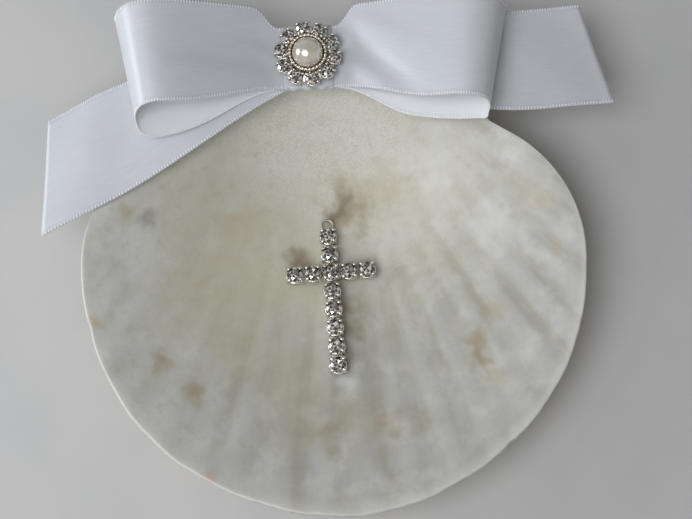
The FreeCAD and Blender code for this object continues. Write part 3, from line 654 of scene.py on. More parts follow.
def make_satin():
    material, tree, surface = new_material("satin")
    flat = add_node(tree, "ShaderNodeUVMap", uv_map="cloth").outputs[0]

    def stretched(across, along, detail):
        drawn = add_node(tree, "ShaderNodeMapping", {"Vector": flat, "Scale": (across, along, 1)})
        return noise(tree, drawn.outputs[0], 1, detail, 0.6)

    threads = stretched(5200, 160, 2)
    slubs = stretched(260, 24, 3)
    colour = mix_colours(tree, ramp(tree, threads, 0.3, 0.7), "#c2c5ca", "#c9ccd1")
    colour = mix_colours(tree, ramp(tree, slubs, 0.4, 0.8, 0.0, 0.06), colour, "#bcc0c6")
    across = add_node(tree, "ShaderNodeSeparateXYZ", {0: flat}).outputs["X"]
    from_edge = minus(tree, HALF_CLOTH, math_node(tree, "ABSOLUTE", across))
    groove = ramp(tree, from_edge, 0.0011, 0.0009)
    colour = mix_colours(tree, times(tree, groove, 0.3), colour, "#b0b4bb")
    reverse = value_of(tree, "reverse")
    # The back is lighter: painted light for the glow through the thin satin in the loops' shaded
    # insides.
    colour = mix_colours(tree, reverse, colour, "#e4e6e9")
    shiny = ramp(tree, slubs, 0.3, 0.8, 0.36, 0.41)
    link_surface(tree, surface, colour, plus(tree, shiny, times(tree, reverse, 0.3)))
    set_plain(surface, {"Anisotropic": 0.5, "Specular IOR Level": 0.45, "Sheen Weight": 0.2,
                        "Sheen Roughness": 0.4, "Subsurface Weight": 0.35,
                        "Subsurface Radius": (1, 1, 1), "Subsurface Scale": 0.0012})
    tangent = add_node(tree, "ShaderNodeTangent", direction_type="UV_MAP", uv_map="cloth")
    tree.links.new(tangent.outputs[0], surface.inputs["Tangent"])
    add_bump(tree, surface, minus(tree, threads, times(tree, groove, 0.5)), 0.1, 0.1)
    return material


satin = make_satin()
print("satin nodes:", len(satin.node_tree.nodes))

# %% [markdown]
# ## Thread, glue and plating
# These are small in the picture, but they are looked at from close by. Thread is a soft white with
# some sheen. Glue is cloudy and lets light in. The settings are plated: bright where they were
# polished, duller on the back, and a pale gold on the beads. All take their unevenness from the
# mottle group, which also breaks up their gloss.

# %% Thread and glue
def make_thread():
    material, tree, surface = new_material("thread")
    patches = mottled(tree, "#d2d6db", "#eceff2", 2500, 2)
    rough = ramp(tree, patches["Mask"], 0.0, 1.0, 0.5, 0.6)
    link_surface(tree, surface, patches["Colour"], rough)
    set_plain(surface, {"Sheen Weight": 0.3})
    return material


def make_glue():
    material, tree, surface = new_material("glue")
    patches = mottled(tree, "#d9d6cc", "#f2f0ea", 1200, 3)
    rough = ramp(tree, patches["Height"], 0.3, 0.7, 0.25, 0.45)
    link_surface(tree, surface, patches["Colour"], rough)
    set_plain(surface, {"Subsurface Weight": 0.4, "Subsurface Scale": 0.001})
    return material


thread = make_thread()
glue = make_glue()
print("soft finishes:", thread.name, glue.name)


# %% Plating
def make_plating(name, bright, worn, smooth, rough):
    material, tree, surface = new_material(name)
    patches = mottled(tree, bright, worn, 700, 5, 0.65, 0.4, 0.7)
    gloss = ramp(tree, patches["Height"], 0.3, 0.75, smooth, rough)
    link_surface(tree, surface, patches["Colour"], gloss)
    set_plain(surface, {"Metallic": 1})
    add_bump(tree, surface, patches["Height"], 0.15, 0.1)
    return material


bright_plating = make_plating("bright_plating", "#efece6", "#b9b3a8", 0.16, 0.38)
dull_plating = make_plating("dull_plating", "#cfcbc2", "#aaa498", 0.45, 0.6)
pale_gold = make_plating("pale_gold_plating", "#eae2d0", "#bcb199", 0.2, 0.4)
print("plating:", [item.name for item in (bright_plating, dull_plating, pale_gold)])

# %% [markdown]
# ## Crystal and pearl
# A rhinestone has foil behind it, so it throws light back instead of letting it through. Real glass
# would need a long render and would show the cup. A metallic stone under a clear coat stands in for
# it, and each facet keeps a colour of its own, from dark to near white, as a painted reflection. The
# chance number of its copy shifts them all, so that no two stones flash alike. The pearl is a milky
# metal under a thick clear coat.

# %% Crystal
def make_crystal():
    material, tree, surface = new_material("crystal")
    # Each facet's colour, dark or near white, is a painted reflection chosen by its tone and its copy's
    # chance number.
    shift = times(tree, value_of(tree, "chance"), 3.7)
    painted_facet_flash = math_node(tree, "FRACT", plus(tree, value_of(tree, "tone"), shift))
    painted_dark_facets = mottled(tree, "#38342f", "#57524b", 900, 3)["Colour"]
    clear = mottled(tree, "#f6f3ee", "#d3cec6", 900, 3)["Colour"]
    link_surface(tree, surface, mix_colours(tree, ramp(tree, painted_facet_flash, 0.42, 0.9), painted_dark_facets, clear))
    set_plain(surface, {"Metallic": 0.7, "Roughness": 0.1, "Coat Weight": 1,
                        "Coat Roughness": 0.02, "Coat IOR": 1.6})
    return material


crystal = make_crystal()
print("crystal nodes:", len(crystal.node_tree.nodes))


# %% Pearl coat
def make_pearl_coat():
    material, tree, surface = new_material("pearl")
    patches = mottled(tree, "#e4dfd4", "#d0c8b9", 350, 3, 0.55, 0.35, 0.65)
    gloss = ramp(tree, patches["Height"], 0.3, 0.7, 0.14, 0.24)
    link_surface(tree, surface, patches["Colour"], gloss)
    set_plain(surface, {"Metallic": 0.72, "Coat Weight": 1, "Coat Roughness": 0.05, "Coat IOR": 1.7})
    return material


pearl_coat = make_pearl_coat()
print("pearl coat nodes:", len(pearl_coat.node_tree.nodes))

# %% [markdown]
# ## Shell: the bowl
# A scallop grows by adding shell at its margin, so its form is best told in rays from the hinge.
# Sculpting could give a bowl, but not this one to the millimetre. The CAD source has a formula for
# the height along each ray, and the same formula is used here with many more points. Growth lines
# are margins of earlier ages, so the share of the margin at a point also gives its growth value.

# %% Shell: sizes, margin and fan
HINGE_Y = 51
RAY_Y = 54
RAY_LENGTH = 122.5
HALF_WIDTH = 63.3
RIM_Z = 20.203
BOWL_DEPTH = 18
FLARE = 1.15
RISE = 0.90657
DEEPEST = 0.24388
MARGIN_HALF = 62.5
MARGIN_CENTRE = 60
FAN_HALF_ANGLE = 58
FAN_SOFTNESS = 0.06
# Rays start just behind the hinge line. FLARE and RISE shape the bowl along a ray, and DEEPEST is the
# largest value of that shape, so BOWL_DEPTH is the depth itself. Each earlier margin is an ellipse, a
# share as large as the last one and with its middle that share as far from the ray centre.


def margin_share(across, down):
    """How large the margin was when it passed this point: 0 at the ray centre, 1 at the rim."""
    square = 1 - (MARGIN_CENTRE / MARGIN_HALF) ** 2
    linear = 2 * down * MARGIN_CENTRE / MARGIN_HALF ** 2
    constant = (across / HALF_WIDTH) ** 2 + (down / MARGIN_HALF) ** 2
    return (np.sqrt(linear ** 2 + 4 * square * constant) - linear) / (2 * square)


def fan_fade(angle):
    """1 in the middle of the fan, and softly down to 0 on the ears."""
    left = 1 - (angle / FAN_HALF_ANGLE) ** 2
    return (left + np.sqrt(left ** 2 + FAN_SOFTNESS ** 2)) / 2


print("fan at 0, 40 and 80 degrees:", fan_fade(np.array([0, 40, 80])).round(2))


# %% Shell: height of the bowl
def bowl_height(angle, radius):
    """Height of the inside, and the margin's share, at a distance along a ray."""
    turn = np.radians(angle)
    share = margin_share(radius * np.sin(turn), radius * np.cos(turn))
    below = np.abs(1 - share) ** FLARE * np.sign(1 - share)
    return RIM_Z - BOWL_DEPTH * share ** RISE * below / DEEPEST * fan_fade(angle), share


lowest = bowl_height(0, np.linspace(5, 120, 200))[0].min()
print("lowest point inside:", round(float(lowest), 2), "mm above the table")

# %% [markdown]
# ## Shell: outline and rim
# From above, the valve is a half circle in front, an arc at each shoulder down to a notch, and a
# hollowed edge on each ear. The arcs are laid out as points, and each ray asks how far it may go.
# The real rim is a little wavy and has two small chips, so the reach gets a few slow waves and two
# narrow dips.

# %% Shell: outline
FRONT_Y = -68.5
EAR_NOTCH = np.array([41.5, 27.5])
EAR_CORNER = np.array([39.0, 51.0])
EAR_HOLLOW = 1.2
RIB_ANGLE = 5.5


def arc_points(centre, radius, start, end, count):
    angles = np.radians(np.linspace(start, end, count))
    return np.stack([centre[0] + radius * np.cos(angles), centre[1] + radius * np.sin(angles)], 1)


def outline_reach(angles):
    """Distance from the ray centre to the shell's outline along each ray."""
    margin_y = HALF_WIDTH + FRONT_Y
    drop = EAR_NOTCH[1] - margin_y
    step = HALF_WIDTH - EAR_NOTCH[0]
    shoulder_radius = (step ** 2 + drop ** 2) / (2 * step)
    shoulder = np.array([HALF_WIDTH - shoulder_radius, margin_y])
    notch_turn = math.degrees(math.atan2(EAR_NOTCH[1] - shoulder[1], EAR_NOTCH[0] - shoulder[0]))
    margin = arc_points((0, margin_y), HALF_WIDTH, -90, 0, 200)
    side = arc_points(shoulder, shoulder_radius, 0, notch_turn, 80)
    share = np.linspace(0, 1, 40)[:, None]
    hollow = np.array([EAR_HOLLOW, 0]) * (4 * share * (1 - share))
    ear = EAR_NOTCH + (EAR_CORNER - EAR_NOTCH) * share - hollow
    edge = np.concatenate([margin, side, ear])
    turn = np.degrees(np.arctan2(edge[:, 0], RAY_Y - edge[:, 1]))
    reach = np.hypot(edge[:, 0], RAY_Y - edge[:, 1])
    turn = np.maximum.accumulate(turn + np.linspace(0, 1e-4, len(turn)))
    return np.interp(np.abs(angles), turn, reach)


# %% Shell: wavy rim with chips
CHIPS = [(-39.5, 0.6, 0.7), (21, 0.35, 0.5)]


def rim_reach(angles):
    """The outline with its waves and chips."""
    change = 0.06 * np.cos(2 * np.pi * angles / RIB_ANGLE) + 0.3 * np.sin(0.21 * angles + 1)
    change += 0.12 * np.sin(0.83 * angles) + 0.04 * np.sin(2.9 * angles + 2)
    for angle, depth, width in CHIPS:
        change -= depth * np.exp(-((angles - angle) / width) ** 2)
    return outline_reach(angles) + change * fan_fade(angles)


print("reach of the middle ray:", round(float(rim_reach(np.zeros(1))[0]), 2), "mm")

# %% [markdown]
# ## Shell: closed sections
# Each ray gives one closed section through the wall: the inside from the hinge to the rim, a round
# edge, the outside back again, and a round edge at the hinge. Solidify could thicken a sheet, but
# the real wall thins towards the rim, and its edge is round. Rays stand close together across the
# flutes and on the steep shoulders, and wider apart on the ears.

# %% Shell: rays and sections
INSIDE_STEPS = 66
EDGE_STEPS = 6
EDGE_ROUND = 0.5
EDGE_BEND = np.linspace(0, np.pi, EDGE_STEPS + 2)[1:-1]
HINGE_WALL = 3
WALL_THINNING = 1.4


def shell_angles():
    fan = np.arange(0, 54, RIB_ANGLE / 16)
    shoulder = np.arange(54, 59, 0.14)
    ear = np.linspace(59, 85.3, 24)
    half = np.concatenate([fan, shoulder, ear])
    return np.concatenate([-half[:0:-1], half])


def section(top, under):
    """A value round each closed section: inside, rim, outside and hinge edge."""
    def edge(column):
        middle = (top[:, column] + under[:, column])[:, None] / 2
        half = (top[:, column] - under[:, column])[:, None] / 2
        return middle + half * np.cos(EDGE_BEND)
    return np.concatenate([top, edge(-1), under[:, ::-1], edge(0)[:, ::-1]], 1)


print("rays:", len(shell_angles()), "points in a section:", 2 * (INSIDE_STEPS + EDGE_STEPS))

# %% [markdown]
# ## Shell: flutes
# The valve is pressed into ribs and valleys, one wave for every rib. Outside they are deep. Inside
# they start halfway out, die before the rim, and are uneven from rib to rib. The wave is a rule over
# the whole surface, so a Geometry Nodes tree makes it: the mesh carries how strong the wave is at
# each point, the two depths are inputs, and nothing may sink below the table.

# %% Shell: strength of the flutes
def flute_swell(angle, radius):
    """The ribs swell from the hinge out and die away on the ears."""
    return radius / RAY_LENGTH * np.minimum(1, 2 * fan_fade(angle))


def flute_fade(angle, radius, share):
    """What is left of them inside."""
    outwards = np.clip((radius - 38) / 45, 0, 1) * np.clip((1 - share) / 0.12, 0, 1)
    uneven = 0.62 + 0.22 * np.sin(0.47 * angle + 0.8) + 0.16 * np.sin(1.31 * angle + 2)
    return outwards * uneven * (0.7 + 0.3 * np.tanh(angle / 20))


print("outside, halfway along the middle ray:", round(float(flute_swell(0, RAY_LENGTH / 2)), 2))

# %% Shell: flute tree
def make_flute_tree():
    tree, start, end = new_tree(
        "GeometryNodeTree", "flutes",
        [("Valve", "Geometry", None), ("Inside Depth", "Float", None),
         ("Outside Depth", "Float", None), ("Material", "Material", None)],
        [("Geometry", "Geometry")])
    wave = math_node(tree, "COSINE", times(tree, stored_value(tree, "ray"), 2 * math.pi))
    within = times(tree, stored_value(tree, "inside_swell"), start.outputs["Inside Depth"])
    beneath = times(tree, stored_value(tree, "outside_swell"), start.outputs["Outside Depth"])
    drop = times(tree, wave, plus(tree, within, beneath))
    position = add_node(tree, "GeometryNodeInputPosition").outputs[0]
    place = add_node(tree, "ShaderNodeSeparateXYZ", {0: position}).outputs
    height = math_node(tree, "MAXIMUM", minus(tree, place["Z"], drop), 0.0)
    moved = add_node(tree, "ShaderNodeCombineXYZ", {"X": place["X"], "Y": place["Y"], "Z": height})
    pressed = add_node(tree, "GeometryNodeSetPosition",
                       {"Geometry": start.outputs["Valve"], "Position": moved.outputs[0]})
    end_tree(tree, pressed.outputs[0], start.outputs["Material"], end)
    return tree


flute_tree = make_flute_tree()
print("flute tree nodes:", len(flute_tree.nodes))

# %% [markdown]
# Now the parts of the rule come together. The smooth valve is made first, with every value stored
# on its points, and the tree then presses the flutes into it. The stored values stay on the result,
# so the finish reads the same growth and rays as the flutes do.

# %% Shell: smooth valve
def make_valve_mesh():
    """The valve before it is fluted, with the values that its tree and its finish read."""
    angles = shell_angles()[:, None]
    turn = np.radians(angles)
    reach = rim_reach(angles)
    start = np.minimum((RAY_Y - HINGE_Y) / np.cos(turn), reach - 2 * EDGE_ROUND - 0.2)
    steps = 1 - (1 - np.linspace(0, 1, INSIDE_STEPS)) ** 1.25
    radius = start + EDGE_ROUND + (reach - start - 2 * EDGE_ROUND) * steps
    inner, share = bowl_height(angles, radius)
    outer = inner - (HINGE_WALL - WALL_THINNING * radius / RAY_LENGTH)

    past_rim = radius[:, -1:] + EDGE_ROUND * np.sin(EDGE_BEND)
    past_hinge = radius[:, :1] - EDGE_ROUND * np.sin(EDGE_BEND)
    around = np.concatenate([radius, past_rim, radius[:, ::-1], past_hinge[:, ::-1]], 1)
    across = around * np.sin(turn)
    down = around * np.cos(turn)
    mesh = make_mesh("smooth_valve", np.stack([across, RAY_Y - down, section(inner, outer)], 2),
                     tube_faces(*around.shape))

    within = np.zeros(around.shape)
    within[:, :INSIDE_STEPS + EDGE_STEPS // 2] = 1
    swell = flute_swell(angles, radius)
    none = np.zeros_like(radius)
    set_values(mesh, "growth", margin_share(across, down))
    set_values(mesh, "ray", np.broadcast_to(angles / RIB_ANGLE, around.shape))
    set_values(mesh, "inside", within)
    set_values(mesh, "inside_swell", section(swell * flute_fade(angles, radius, share), none))
    set_values(mesh, "outside_swell", section(none, swell))
    return mesh


valve_mesh = make_valve_mesh()
print("points of the valve:", len(valve_mesh.vertices))

# %% Shell: press the flutes
INSIDE_FLUTE = 0.26
OUTSIDE_FLUTE = 0.5
shell = bake_tree("shell_valve", valve_mesh, flute_tree,
                  {"Inside Depth": INSIDE_FLUTE * MM, "Outside Depth": OUTSIDE_FLUTE * MM,
                   "Material": shell_material})
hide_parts("scallop_shell")
print("shell faces:", len(shell.data.polygons))

# %% [markdown]
# ## Ribbon bow
# The bow is two lengths of satin ribbon: one folded into two loops, one laid under it as tails,
# both gathered at the waist. A cloth simulation could drape them, but thin ribbon is hard to hold
# and the picture already shows how it lies. So each ribbon is a row of stations: a middle point, a
# direction across and a width. The width narrows smoothly to the gathered waist.

# %% Ribbon: sizes and width
BOW = np.array([-4.3, 46.4, 0.0])
RIBBON_WIDTH = 26.5
WAIST_WIDTH = 16.4
FLAT_HALF = 7.5
LAYER = 0.5
TAIL_Z = 21.503
LOW_Z = 22.003
HIGH_Z = 22.503


def gathered_width(along, gather):
    """Width of the ribbon at a distance from the bow's middle."""
    share = np.clip((along - FLAT_HALF) / gather, 0, 1)
    return WAIST_WIDTH + (RIBBON_WIDTH - WAIST_WIDTH) * share ** 2 * (3 - 2 * share)


print("width at the waist and past it:", gathered_width(np.array([0, 20, 60]), 26).round(1))

# %% [markdown]
# A loop leaves the waist in the upper layer, swells up and out, turns over at its far end and comes
# back below. Seen from the side that is one closed swing, which a few sines describe. The loops
# also lean: the lower half slips towards the bowl, and the back edge is gathered harder than the
# front.

# %% Loops: middle line
UPPER_SWING = 9.5
LOWER_SWING = 1.9
LOOP_RISE = 5


def loop_middles(turn, side, reach, heading, drift):
    """Middle line of a loop, with turn from 0 at the upper layer to 1 at the lower one."""
    out = np.sin(np.pi * turn)
    along = FLAT_HALF + (reach - FLAT_HALF) * out
    swing = np.sin(2 * np.pi * turn) * np.sqrt(np.abs(out)) / 0.8625
    swing = swing * np.where(turn < 0.5, UPPER_SWING, LOWER_SWING)
    height = (HIGH_Z + LOW_Z) / 2 + LAYER / 2 * np.cos(np.pi * turn)
    height = height + LOOP_RISE * np.abs(out) ** 1.5 + swing
    aside = -math.sin(math.radians(heading)) * (along - FLAT_HALF)
    aside = aside - drift * np.sin(np.pi * turn ** 2) ** 2
    return np.stack([side * along, aside, height], 1) + BOW


# %% Loops: stations
GATHER_BACK = 6
GATHER_FRONT = 26
STEEPEST = 0.88
LOOP_COUNT = 90


def loop_stations(side, reach, skew, heading, drift, gather_under, count):
    """Middles, across vectors and widths from the upper layer at the wrap to the lower one."""
    turn = np.linspace(0, 1, count)
    out = np.abs(np.sin(np.pi * turn))
    lean = math.radians(skew) * turn * np.minimum(1, 2 * out)
    across = np.stack([side * np.sin(lean), np.cos(lean), np.zeros(count)], 1)
    before, middles, after = (loop_middles(turn + nudge, side, reach, heading, drift)
                              for nudge in (-0.01, 0, 0.01))
    ahead = (after - before) / np.linalg.norm(after - before, axis=1)[:, None]
    slant = np.maximum(np.linalg.norm(np.cross(across, ahead), axis=1), STEEPEST)
    along = FLAT_HALF + (reach - FLAT_HALF) * out
    back, front = (gathered_width(along, np.where(turn < 0.5, gather, gather_under)) / 2 / slant
                   for gather in (GATHER_BACK, GATHER_FRONT))
    return middles + across * ((back - front) / 2)[:, None], across, back + front


def both_sides(left, right):
    """Stations of one ribbon from its left end over the waist to its right end."""
    return [np.concatenate([part[::-1], other]) for part, other in zip(left, right)]


loop_ribbon = both_sides(loop_stations(-1, 45.5, 20, 0, 6.2, 38, LOOP_COUNT),
                         loop_stations(1, 47.5, 25, 3.5, 3.2, 24, LOOP_COUNT))
print("top of the loops:", round(float(loop_ribbon[0][:, 2].max()), 1), "mm")

# %% [markdown]
# Where the wrap squeezes the satin, it puffs up just past the waist and breaks into a few soft
# folds that fan outwards. A sculpted crease would have to follow the ribbon by hand. Here each fold
# is a line across the ribbon that shifts as it runs out, and it takes some of the puff away.

# %% Loops: gathers at the waist
COLUMNS = 35
PUFF = 0.2
PUFF_REACH = 14
spread = np.linspace(-1, 1, COLUMNS)
CREASES = [
    # side, place across at the waist, its shift per mm outwards, width, depth share
    (-1, 0.4, -0.02, 0.25, 0.5),
    (-1, -0.35, 0.012, 0.22, 0.4),
    (1, 0.3, -0.058, 0.3, 1.0),
    (1, 0.85, -0.04, 0.3, -0.5),
    (1, -0.25, -0.058, 0.22, -0.35),
]


def gathers(middles, upper):
    """Height over each point: nothing under the wrap, soft folds just past it."""
    from_bow = middles[:, 0] - BOW[0]
    past_waist = np.clip(np.abs(from_bow) - FLAT_HALF, 0, None)[:, None]
    swell = PUFF * past_waist * np.exp(-(past_waist / PUFF_REACH) ** 2) * upper[:, None]
    share = np.ones((len(middles), COLUMNS))
    for side, start, shift, width, depth in CREASES:
        here = (np.sign(from_bow) == side)[:, None]
        share -= here * depth * np.exp(-((spread[None] - start - shift * past_waist) / width) ** 2)
    return swell * np.clip(share, 0, None)


from_waist = np.concatenate([np.linspace(1, 0, LOOP_COUNT), np.linspace(0, 1, LOOP_COUNT)])
loop_lift = gathers(loop_ribbon[0], (from_waist < 0.5).astype(float))
print("highest gather:", round(float(loop_lift.max()), 2), "mm")

# %% [markdown]
# ## Stitches
# Both edges of the ribbon are bound by small stitches, hundreds of them. A bump in the material
# would vanish at the silhouette, so each is a real bead of thread. It has few faces, because it is
# repeated so often. The stitches are spaced along the ribbon's own length and stand on its edge.

# %% Bead
def bead(half_sizes, rings=5, sides=8):
    """A small closed bead, as a mesh to repeat."""
    wide, deep, high = half_sizes
    points = [(0, 0, -high)]
    for ring in range(1, rings):
        tilt = math.pi * ring / rings
        for side in range(sides):
            turn = 2 * math.pi * side / sides
            points.append((wide * math.sin(tilt) * math.cos(turn),
                           deep * math.sin(tilt) * math.sin(turn), -high * math.cos(tilt)))
    points.append((0, 0, high))
    faces = [(0, 1 + (side + 1) % sides, 1 + side) for side in range(sides)]
    faces += [tuple(1 + corner for corner in face)
              for face in grid_faces(rings - 1, sides, closed=True)]
    last = 1 + (rings - 2) * sides
    faces += [(last + side, last + (side + 1) % sides, len(points) - 1) for side in range(sides)]
    return make_mesh("bead", points, faces)


# %% Stitches along both edges
STITCH_STEP = 0.72
STITCH_INSET = 0.5
STITCH_HALVES = (0.6, 0.22, 0.22)


def stitch_edges(name, sheet, normals, run):
    """Short stitches over both edges of a ribbon, a set step apart."""
    count = int(run[-1] / STITCH_STEP)
    marks = (np.arange(count) + 0.5) * run[-1] / count
    places = []
    for column, inner in ((0, 1), (-1, -2)):
        inward = sheet[:, inner] - sheet[:, column]
        inward /= np.linalg.norm(inward, axis=1)[:, None]
        line = sheet[:, column] + inward * STITCH_INSET
        for mark in marks:
            places.append([np.array([np.interp(mark, run, data[:, axis]) for axis in range(3)])
                           for data in (line, inward, normals[:, column])])
    piece = scatter(name, bead(STITCH_HALVES), places, thread)
    print(name, "stitches:", len(places))
    return piece


# %% [markdown]
# ## From stations to a ribbon
# The stations make a sheet of points. The ribbon is thin but not flat paper: its face and its back
# lie a little to each side of the sheet, and quads round the rim close it. The flat map runs along
# the middle line, so that the satin's threads follow every fold.

# %% Ribbon: faces
def ribbon_faces(rows):
    """Face, back and rim of a thin ribbon, whose back points follow all of its face points."""
    below = rows * COLUMNS
    face = [corners[::-1] for corners in grid_faces(rows, COLUMNS)]
    back = [tuple(corner + below for corner in corners) for corners in grid_faces(rows, COLUMNS)]
    rim = [row * COLUMNS for row in range(rows)]
    rim += [(rows - 1) * COLUMNS + column for column in range(1, COLUMNS)]
    rim += [row * COLUMNS + COLUMNS - 1 for row in range(rows - 2, -1, -1)]
    rim += list(range(COLUMNS - 2, 0, -1))
    sides = [(there, here, here + below, there + below)
             for here, there in zip(rim, rim[1:] + rim[:1])]
    return face + back + sides


print("faces of a ribbon of 10 stations:", len(ribbon_faces(10)))


# %% Ribbon: mesh and map
HALF_THICK = 0.12


def unit(vectors):
    return vectors / np.linalg.norm(vectors, axis=-1)[..., None]


def make_ribbon(name, stations, lift, node):
    middles, across, widths = stations
    rows = len(middles)
    outward = unit(np.cross(np.gradient(middles, axis=0), across))
    sheet = middles[:, None] + across[:, None] * (widths[:, None] / 2 * spread)[..., None]
    sheet = sheet + outward[:, None] * lift[..., None]
    normals = unit(np.cross(np.gradient(sheet, axis=0), np.gradient(sheet, axis=1)))
    points = np.concatenate([sheet + normals * HALF_THICK, sheet - normals * HALF_THICK])
    piece = add_piece(name, make_mesh(name, points, ribbon_faces(rows)))

    run = np.concatenate([[0], np.cumsum(np.linalg.norm(np.diff(middles, axis=0), axis=1))])
    flat = np.stack(np.broadcast_arrays(spread[None] * RIBBON_WIDTH / 2, run[:, None]), 2)
    lay_flat(piece.data, np.concatenate([flat, flat]).reshape(-1, 2))
    set_values(piece.data, "reverse", np.repeat([0, 1], rows * COLUMNS))
    piece.data.materials.append(satin)
    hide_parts(node)
    stitches = stitch_edges(f"{name}_stitches", sheet, normals, run)
    print(name, "length:", round(float(run[-1]), 1), "mm")
    return piece


# %% [markdown]
# ## Loops
# With the stations, the gathers and the ribbon maker ready, the loops are one call. A loop could be
# made alone and mirrored, but the real ones differ, and one length of ribbon runs through both.

# %% Loops
loops = make_ribbon("satin_loops", loop_ribbon, loop_lift, "bow_loops")
print("loop faces:", len(loops.data.polygons))

# %% [markdown]
# ## Tails
# The tails lie under the loops and reach past the shell on both sides, each cut at a slant. They
# could be flat strips, but ribbon that was rolled on a spool keeps a slight curl. So the middle line
# bends a little, the cut leans more and more towards the end, and the free end buckles upwards.

# %% Tails: stations
TAIL_REACH = 73.6
TAIL_DROP = 0.8
TAIL_COUNT = 60
GATHER_TAIL = 50


def tail_stations(side, angle, slant, bow, count):
    """Half of the tails, from the wrap out to the slanted end."""
    turn = math.radians(angle)
    ahead = np.array([side * math.cos(turn), -math.sin(turn), 0])
    square = np.array([side * math.sin(turn), math.cos(turn), 0])
    start = BOW + np.array([side * FLAT_HALF, 0, TAIL_Z])
    free = TAIL_REACH - FLAT_HALF
    share = np.linspace(0, 1, count)[:, None]
    middles = start + ahead * (free * share) - square * (bow * np.sin(np.pi * share))
    middles = middles - np.array([0, 0, TAIL_DROP]) * share ** 2
    slanted = square - ahead * (math.tan(math.radians(slant)) * share ** 2)
    across = np.where(share == 0, np.array([0, 1.0, 0]), slanted)
    return middles, across, gathered_width(FLAT_HALF + free * share[:, 0], GATHER_TAIL)


# %% Tails: buckled free ends
BUCKLE_START = 46
BUCKLE_LENGTH = 25
tail_ribbon = both_sides(tail_stations(-1, 25.2, 28.6, -0.5, TAIL_COUNT),
                         tail_stations(1, 1.6, 16.5, 1.9, TAIL_COUNT))
past_start = np.abs(tail_ribbon[0][:, 0] - BOW[0]) - BUCKLE_START
free_end = np.clip(past_start / BUCKLE_LENGTH, 0, 1)[:, None]
buckle = 1 + np.sin(np.pi * (1.3 * free_end + 0.5 * spread[None]))
buckle = buckle + 0.3 * np.cos(4 * spread[None] - 3 * free_end)
tails = make_ribbon("satin_tails", tail_ribbon, buckle * free_end * (1.4 - free_end), "bow_tails")
print("tail faces:", len(tails.data.polygons))

# %% [markdown]
# ## Wrap
# A short band of the same satin goes once round the waist and hides the gathers. A bevelled curve
# would do for a cord, but this band is flat, with soft corners and a few folds along it. So one
# rounded rectangle is repeated across the band, drawn in a little by each fold, and a second,
# smaller skin inside it gives the band its thickness.

# %% Wrap: outline
WRAP_DEPTH = 8.7
WRAP_HEIGHT = 1.2
WRAP_CORNER = 1.0


def wrap_outline():
    """A rounded rectangle of (y, z) about the middle of the waist."""
    far = WRAP_DEPTH - WRAP_CORNER
    high = WRAP_HEIGHT - WRAP_CORNER
    corners = [(far, high, 0), (-far, high, 90), (-far, -high, 180), (far, -high, 270)]
    return np.array([(y + WRAP_CORNER * math.cos(math.radians(first + step)),
                      z + WRAP_CORNER * math.sin(math.radians(first + step)))
                     for y, z, first in corners for step in range(0, 91, 15)])


print("points round the wrap:", len(wrap_outline()))


# %% Wrap: band
WRAP_WIDTH = 12.6
WRAP_FOOT_Z = 20.803
WRAP_STEPS = 33


def make_wrap():
    ring = wrap_outline()
    spans = np.linspace(-WRAP_WIDTH / 2, WRAP_WIDTH / 2, WRAP_STEPS)
    middle_z = WRAP_FOOT_Z + WRAP_HEIGHT
    outer = []
    inner = []
    for x in spans:
        off_middle = abs(2 * x / WRAP_WIDTH)
        soft = 1 - 0.25 * off_middle ** 4
        fold = 0.2 * (math.cos(1.7 * x + 0.6) - 1) * soft
        draw = 1 + fold / WRAP_DEPTH - 0.07 * off_middle ** 5
        for rows, across, up in ((outer, draw, soft), (inner, 1 - 0.3 / WRAP_DEPTH, 0.7)):
            rows.append([(BOW[0] + x, BOW[1] + y * across, middle_z + z * up) for y, z in ring])
    points = np.concatenate([np.array(outer), np.array(inner)[::-1]])
    rows, columns = points.shape[:2]
    faces = grid_faces(rows, columns, closed=True) + ring_joint(rows, columns)
    piece = add_piece("satin_wrap", make_mesh("satin_wrap", points, faces))
    run = np.concatenate([[0], np.cumsum(np.linalg.norm(np.diff(ring, axis=0), axis=1))])
    reach = np.concatenate([spans, spans[::-1]])
    lay_flat(piece.data, np.stack(np.broadcast_arrays(reach[:, None], run[None]), 2).reshape(-1, 2))
    piece.data.materials.append(satin)
    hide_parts("bow_wrap")
    return piece


wrap = make_wrap()
print("wrap faces:", len(wrap.data.polygons))

# %% [markdown]
# ## Stones
# A rhinestone is cut as a brilliant: a flat table on top, star and kite facets round it, a thin
# girdle, and a pointed back. A smooth dome would not sparkle, because the flashes come from flat
# facets that meet at sharp edges. The rings of the cut are written for a stone one unit wide and
# then scaled. Each facet gets a tone by golden steps, which never puts two like tones together, and
# the crystal finish turns that tone into a painted reflection.

# %% Ring of points
def ring_points(count, radius, height, shift=0.0):
    """Points round the axis, with a shift as a share of one step."""
    turns = 2 * np.pi * (np.arange(count) + shift) / count
    return [(radius * math.cos(turn), radius * math.sin(turn), height) for turn in turns]


# %% Stone
STONE_SIDES = 8
GIRDLE = 0.05
CROWN = 0.18
GOLDEN = 0.618034


